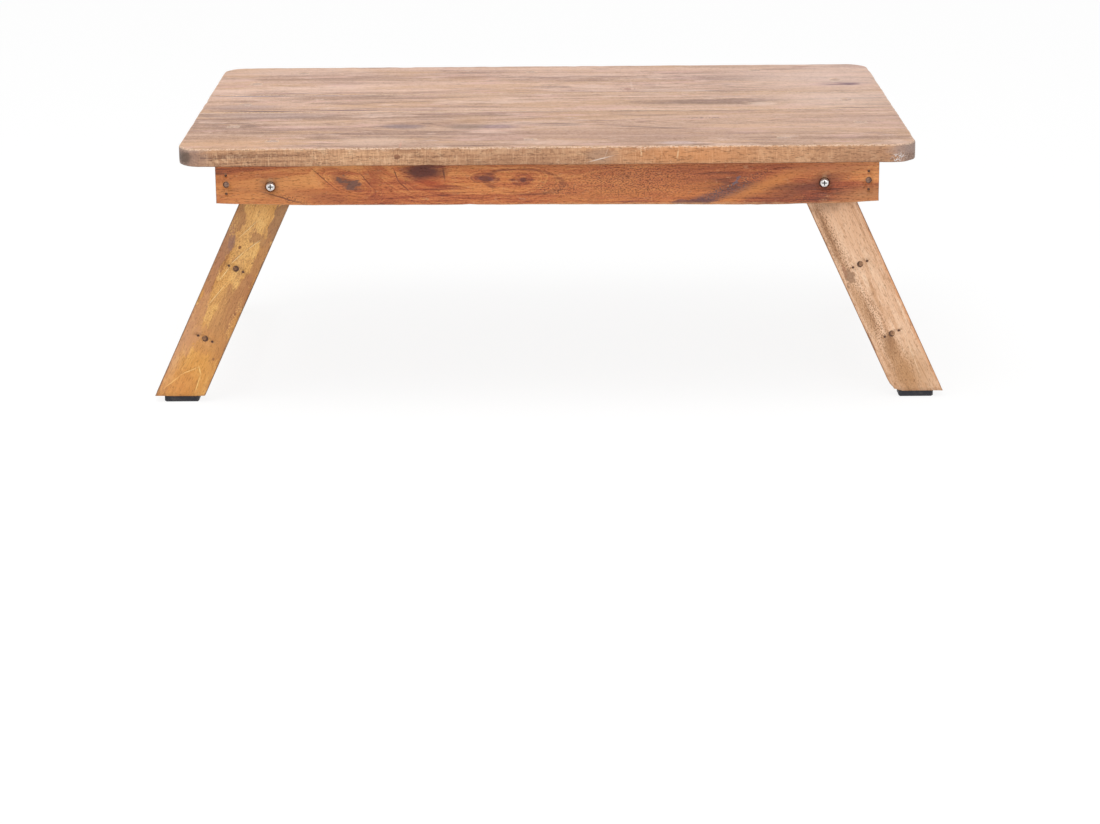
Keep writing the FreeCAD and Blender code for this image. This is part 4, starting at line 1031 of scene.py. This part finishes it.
def worn(name, sides, cuts, depth, seed, nicks=(), bend=None):
    """A board's own shape with rubbed, dented and nicked edges, in place of the plain one.

    cuts are rows of places that divide the board's length: first, last, direction and how many.
    nicks are corners knocked off, all through the board: place in mm, which way, reach and depth in
    mm. bend moves single points.
    """
    node = frame["nodes"][name]
    mesh = bmesh.new()
    mesh.from_mesh(node.data)
    bmesh.ops.remove_doubles(mesh, verts=mesh.verts, dist=1e-6)
    bmesh.ops.dissolve_limit(mesh, angle_limit=math.radians(0.5), verts=mesh.verts, edges=mesh.edges)
    planes = [(side.point - side.normal * EDGE_REACH, side.normal) for side in sides if type(side) is Side]
    for first, last, direction, count in cuts:
        first, last = Vector(first) * MM, Vector(last) * MM
        planes += [(first.lerp(last, i / count), direction) for i in range(count + 1)]
    for point, normal in planes:
        everything = mesh.verts[:] + mesh.edges[:] + mesh.faces[:]
        bmesh.ops.bisect_plane(mesh, geom=everything, dist=1e-6, plane_co=point, plane_no=normal)
    for vert in mesh.verts:
        rest = vert.co.copy()
        insets = sorted(((*side.inset(rest), side.strength) for side in sides), key=lambda row: row[0])
        (first, first_way, first_strength), (second, second_way, second_strength) = insets[:2]
        from_edge = math.hypot(max(first, 0.0), max(second, 0.0))
        share = fade(from_edge / EDGE_REACH) * min(first_strength, second_strength)
        inward = -(first_way + second_way).normalized()
        if share > 0.0:
            vert.co += inward * (share * depth * MM * rubbed(rest, seed))
        for place, way, reach, deep in nicks:
            offset = (rest - place * MM) * (X + Z)
            vert.co += way.normalized() * (deep * MM * fade(offset.length / (reach * MM)))
        if bend:
            vert.co += bend(rest)
    bmesh.ops.triangulate(mesh, faces=mesh.faces, quad_method="BEAUTY", ngon_method="BEAUTY")
    for face in mesh.faces:
        face.smooth = True
    data = bpy.data.meshes.new(name + "_worn")
    mesh.to_mesh(data)
    mesh.free()
    data.set_sharp_from_angle(angle=math.radians(32))
    data.materials.append(FINISHES[name])
    piece = bpy.data.objects.new(name + "_worn", data)
    bpy.context.scene.collection.objects.link(piece)
    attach(piece, BODY_OF[name])
    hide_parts(name)


def box_sides(low, high):
    """The six sides of an upright box, from its lowest and highest corners in mm."""
    return [side for axis in (X, Y, Z) for side in (Side(low, -axis), Side(high, axis))]


# Finishes go on the pieces

BODIES = frame["record"]["behaviour"]["bodies"]
BODY_OF = {name: body for body, names in BODIES.items() for name in names}
for name, node in frame["nodes"].items():
    finish = FINISHES.get(name)
    if finish is None:
        if "nails" in name:
            finish = nail_steel
        elif "_foot_" in name:
            finish = foot_rubber
        else:
            finish = zinc_steel
    for slot in node.material_slots:
        slot.material = finish

# Each plank, and where its seams with its neighbours are
PLANKS = (("plank_front", None, -46.0), ("plank_middle", -45.7, 62.2), ("plank_rear", 62.5, None))
for name, near_y, far_y in PLANKS:
    sides = [Side((0, 0, TOP_HIGH), Z), Side((0, 0, TOP_LOW), -Z), Outline((0, 0, 0), Z)]
    if near_y is not None:
        sides.append(Side((0, near_y, 0), -Y, 0.5))
    if far_y is not None:
        sides.append(Side((0, far_y, 0), Y, 0.5))
    low_y, high_y = (-245 if near_y is None else near_y), (245 if far_y is None else far_y)
    cuts = [
        ((-370, 0, 0), (370, 0, 0), X, 92),
        ((0, low_y, 0), (0, high_y, 0), Y, int((high_y - low_y) / 9)),
    ]
    worn(name, sides, cuts, 0.9, 3.0)


# The front apron's lower edge slopes: its height in the middle, and how much it rises with each mm
EDGE_HEIGHT = (FRONT_APRON_LOW_LEFT + FRONT_APRON_LOW_RIGHT) / 2
EDGE_SLOPE = (FRONT_APRON_LOW_RIGHT - FRONT_APRON_LOW_LEFT) / (2 * APRON_HALF_LENGTH)
# Places along that edge from left to right, and how far it is lifted there, in mm
EDGE_LIFTS = (
    (-340, 1.4), (-322, 0.5), (-250, -0.9), (0, -0.6), (130, -0.8), (215, -1.3), (300, 0.0), (340, 2.6),
)
LIFT_REACH = 11.0


def front_apron_bend(place):
    """The front apron's lower edge sags a little right of the middle and lifts at both ends."""
    along = min(max(place.x / MM, -APRON_HALF_LENGTH), APRON_HALF_LENGTH)
    stretches = zip(EDGE_LIFTS, EDGE_LIFTS[1:])
    (left, left_lift), (right, right_lift) = next(pair for pair in stretches if along <= pair[1][0])
    lift = left_lift + (right_lift - left_lift) * (along - left) / (right - left)
    above = place.z / MM - (EDGE_HEIGHT + EDGE_SLOPE * along)
    return Z * (lift * MM * fade(above / LIFT_REACH))


inner, outer = LONG_APRON_FACES
cuts = [((-335, 0, 0), (335, 0, 0), X, 84)]
sides = box_sides((-APRON_HALF_LENGTH, -outer, APRON_LOW), (APRON_HALF_LENGTH, -inner, TOP_LOW))
middle = (0, -(inner + outer) / 2, EDGE_HEIGHT)
sides[4] = Side(middle, Vector((EDGE_SLOPE, 0.0, -1.0)).normalized())
worn("apron_front", sides, cuts, 0.8, 11.0, bend=front_apron_bend)
sides = box_sides((-APRON_HALF_LENGTH, inner, APRON_LOW), (APRON_HALF_LENGTH, outer, TOP_LOW))
worn("apron_back", sides, cuts, 0.8, 17.0)

inner, outer = END_APRON_FACES
END_APRONS = (("apron_left", -outer, -inner, 23.0), ("apron_right", inner, outer, 29.0))
for name, low_x, high_x, seed in END_APRONS:
    sides = box_sides((low_x, -END_APRON_HALF_LENGTH, APRON_LOW), (high_x, END_APRON_HALF_LENGTH, TOP_LOW))
    worn(name, sides, [((0, -195, 0), (0, 195, 0), Y, 50)], 0.9, seed)

half_length, half_inward, half_down = BAR_HALF_SIZES
for frame_name, side in (("left", -1), ("right", 1)):
    for end_name, depth in (("front", -LEGS_AT), ("back", LEGS_AT)):
        down, inward, pivot = leg_axes(side, depth)
        sides = [
            Side(pivot + inward * LEG_INNER, inward), Side(pivot - inward * LEG_OUTER, -inward),
            Side((0, depth - LEG_HALF_THICKNESS, 0), -Y), Side((0, depth + LEG_HALF_THICKNESS, 0), Y),
            Side((0, 0, LEG_LOW), -Z),
        ]
        nicks = []
        if (side, end_name) == (1, "front"):
            corner = pivot + down * 239.7 + inward * LEG_INNER
            nicks = [(corner, Z - inward, 11.0, 2.6)]
        cuts = [(pivot - down * 20, pivot + down * 250, down, 45)]
        worn(f"{frame_name}_leg_{end_name}", sides, cuts, 0.9, side * 7.0 + depth, nicks)
    for bar_name, reach in zip(("upper", "lower"), BAR_REACHES):
        down, inward, pivot = leg_axes(side, 0.0)
        middle = pivot + down * reach
        sides = [
            Side(middle + down * half_down, down), Side(middle - down * half_down, -down),
            Side(middle + inward * half_inward, inward), Side(middle - inward * half_inward, -inward),
            Side((0, -half_length, 0), -Y, 0.3), Side((0, half_length, 0), Y, 0.3),
        ]
        cuts = [((0, -174, 0), (0, 174, 0), Y, 45)]
        worn(f"{frame_name}_crossbar_{bar_name}", sides, cuts, 1.0, side * 5.0 + reach)


# Floor, light and camera


def seen_or_mirrored(start):
    """1 for what the camera sees, straight, in a mirror or through glass."""
    rays = ("Is Camera Ray", "Is Glossy Ray", "Is Transmission Ray")
    straight, mirrored, through = (start.node("LightPath", out=ray) for ray in rays)
    return straight.most(mirrored).most(through)


def pale_floor():
    """A wide pale floor under the feet."""
    sheet = bmesh.new()
    bmesh.ops.create_grid(sheet, x_segments=1, y_segments=1, size=12.0)
    mesh = bpy.data.meshes.new("floor")
    sheet.to_mesh(mesh)
    sheet.free()
    floor = bpy.data.objects.new("floor", mesh)
    bpy.context.scene.collection.objects.link(floor)
    material, start = new_finish("floor_paper")
    seen = seen_or_mirrored(start)
    matt = start.node("BsdfDiffuse", {}, {"Color": (0.9, 0.9, 0.9, 1.0)})
    bright = start.node("Emission", {}, {"Color": WHITE, "Strength": 0.88})
    shaded = start.node("BsdfDiffuse", {}, {"Color": (0.15, 0.15, 0.15, 1.0)})
    shown = start.node("AddShader", {}, {0: bright, 1: shaded})
    surface = start.node("MixShader", {}, {0: seen, 1: matt, 2: shown})
    start.end(surface)
    mesh.materials.append(material)


def white_room():
    """Even light from all round; what is seen of it, straight or mirrored, is white."""
    world = bpy.data.worlds.new("white_room")
    world.use_nodes = True
    world.node_tree.nodes.clear()
    start = Wire(world.node_tree)
    plain = start.node("Background", {}, {"Color": WHITE, "Strength": 0.62})
    white = start.node("Background", {}, {"Color": WHITE, "Strength": 1.0})
    surface = start.node("MixShader", {}, {0: seen_or_mirrored(start), 1: plain, 2: white})
    start.end(surface, "World")
    bpy.context.scene.world = world


def soft_lamp(name, place, size, power):
    """A large square lamp that looks at the table."""
    data = bpy.data.lights.new(name, "AREA")
    data.shape = "SQUARE"
    data.size = size
    data.energy = power
    lamp = bpy.data.objects.new(name, data)
    lamp.location = place
    lamp.rotation_euler = (Vector((0, 0, 0.15)) - Vector(place)).to_track_quat("-Z", "Y").to_euler()
    bpy.context.scene.collection.objects.link(lamp)


def photo_camera():
    """The camera at the photograph's place, for a frame 1100 wide."""
    yaw, pitch, roll, focal = -0.00132447, 0.27978480, -0.00706318, 2931.712
    data = bpy.data.cameras.new("camera")
    data.sensor_width = 36.0
    data.lens = focal / 1100 * 36.0
    data.clip_start, data.clip_end = 0.1, 100.0
    right = Vector((math.cos(yaw), math.sin(yaw), 0.0))
    ahead = Vector((-math.sin(yaw), math.cos(yaw), 0.0))
    look = ahead * math.cos(pitch) - Z * math.sin(pitch)
    upright = Z * math.cos(pitch) + ahead * math.sin(pitch)
    x_axis = right * math.cos(roll) + upright * math.sin(roll)
    y_axis = upright * math.cos(roll) - right * math.sin(roll)
    turned = Matrix((x_axis, y_axis, -look)).transposed().to_4x4()
    turned.translation = Vector((-2.9464, -3169.6938, 839.9175)) * MM
    camera = bpy.data.objects.new("camera", data)
    camera.matrix_world = turned
    bpy.context.scene.collection.objects.link(camera)
    bpy.context.scene.camera = camera


pale_floor()
white_room()
soft_lamp("lamp_above", (-0.6, -0.7, 2.4), 1.6, 26.0)
soft_lamp("lamp_front", (0.8, -2.6, 1.2), 1.8, 16.0)
photo_camera()
bpy.context.scene.view_settings.view_transform = "Standard"
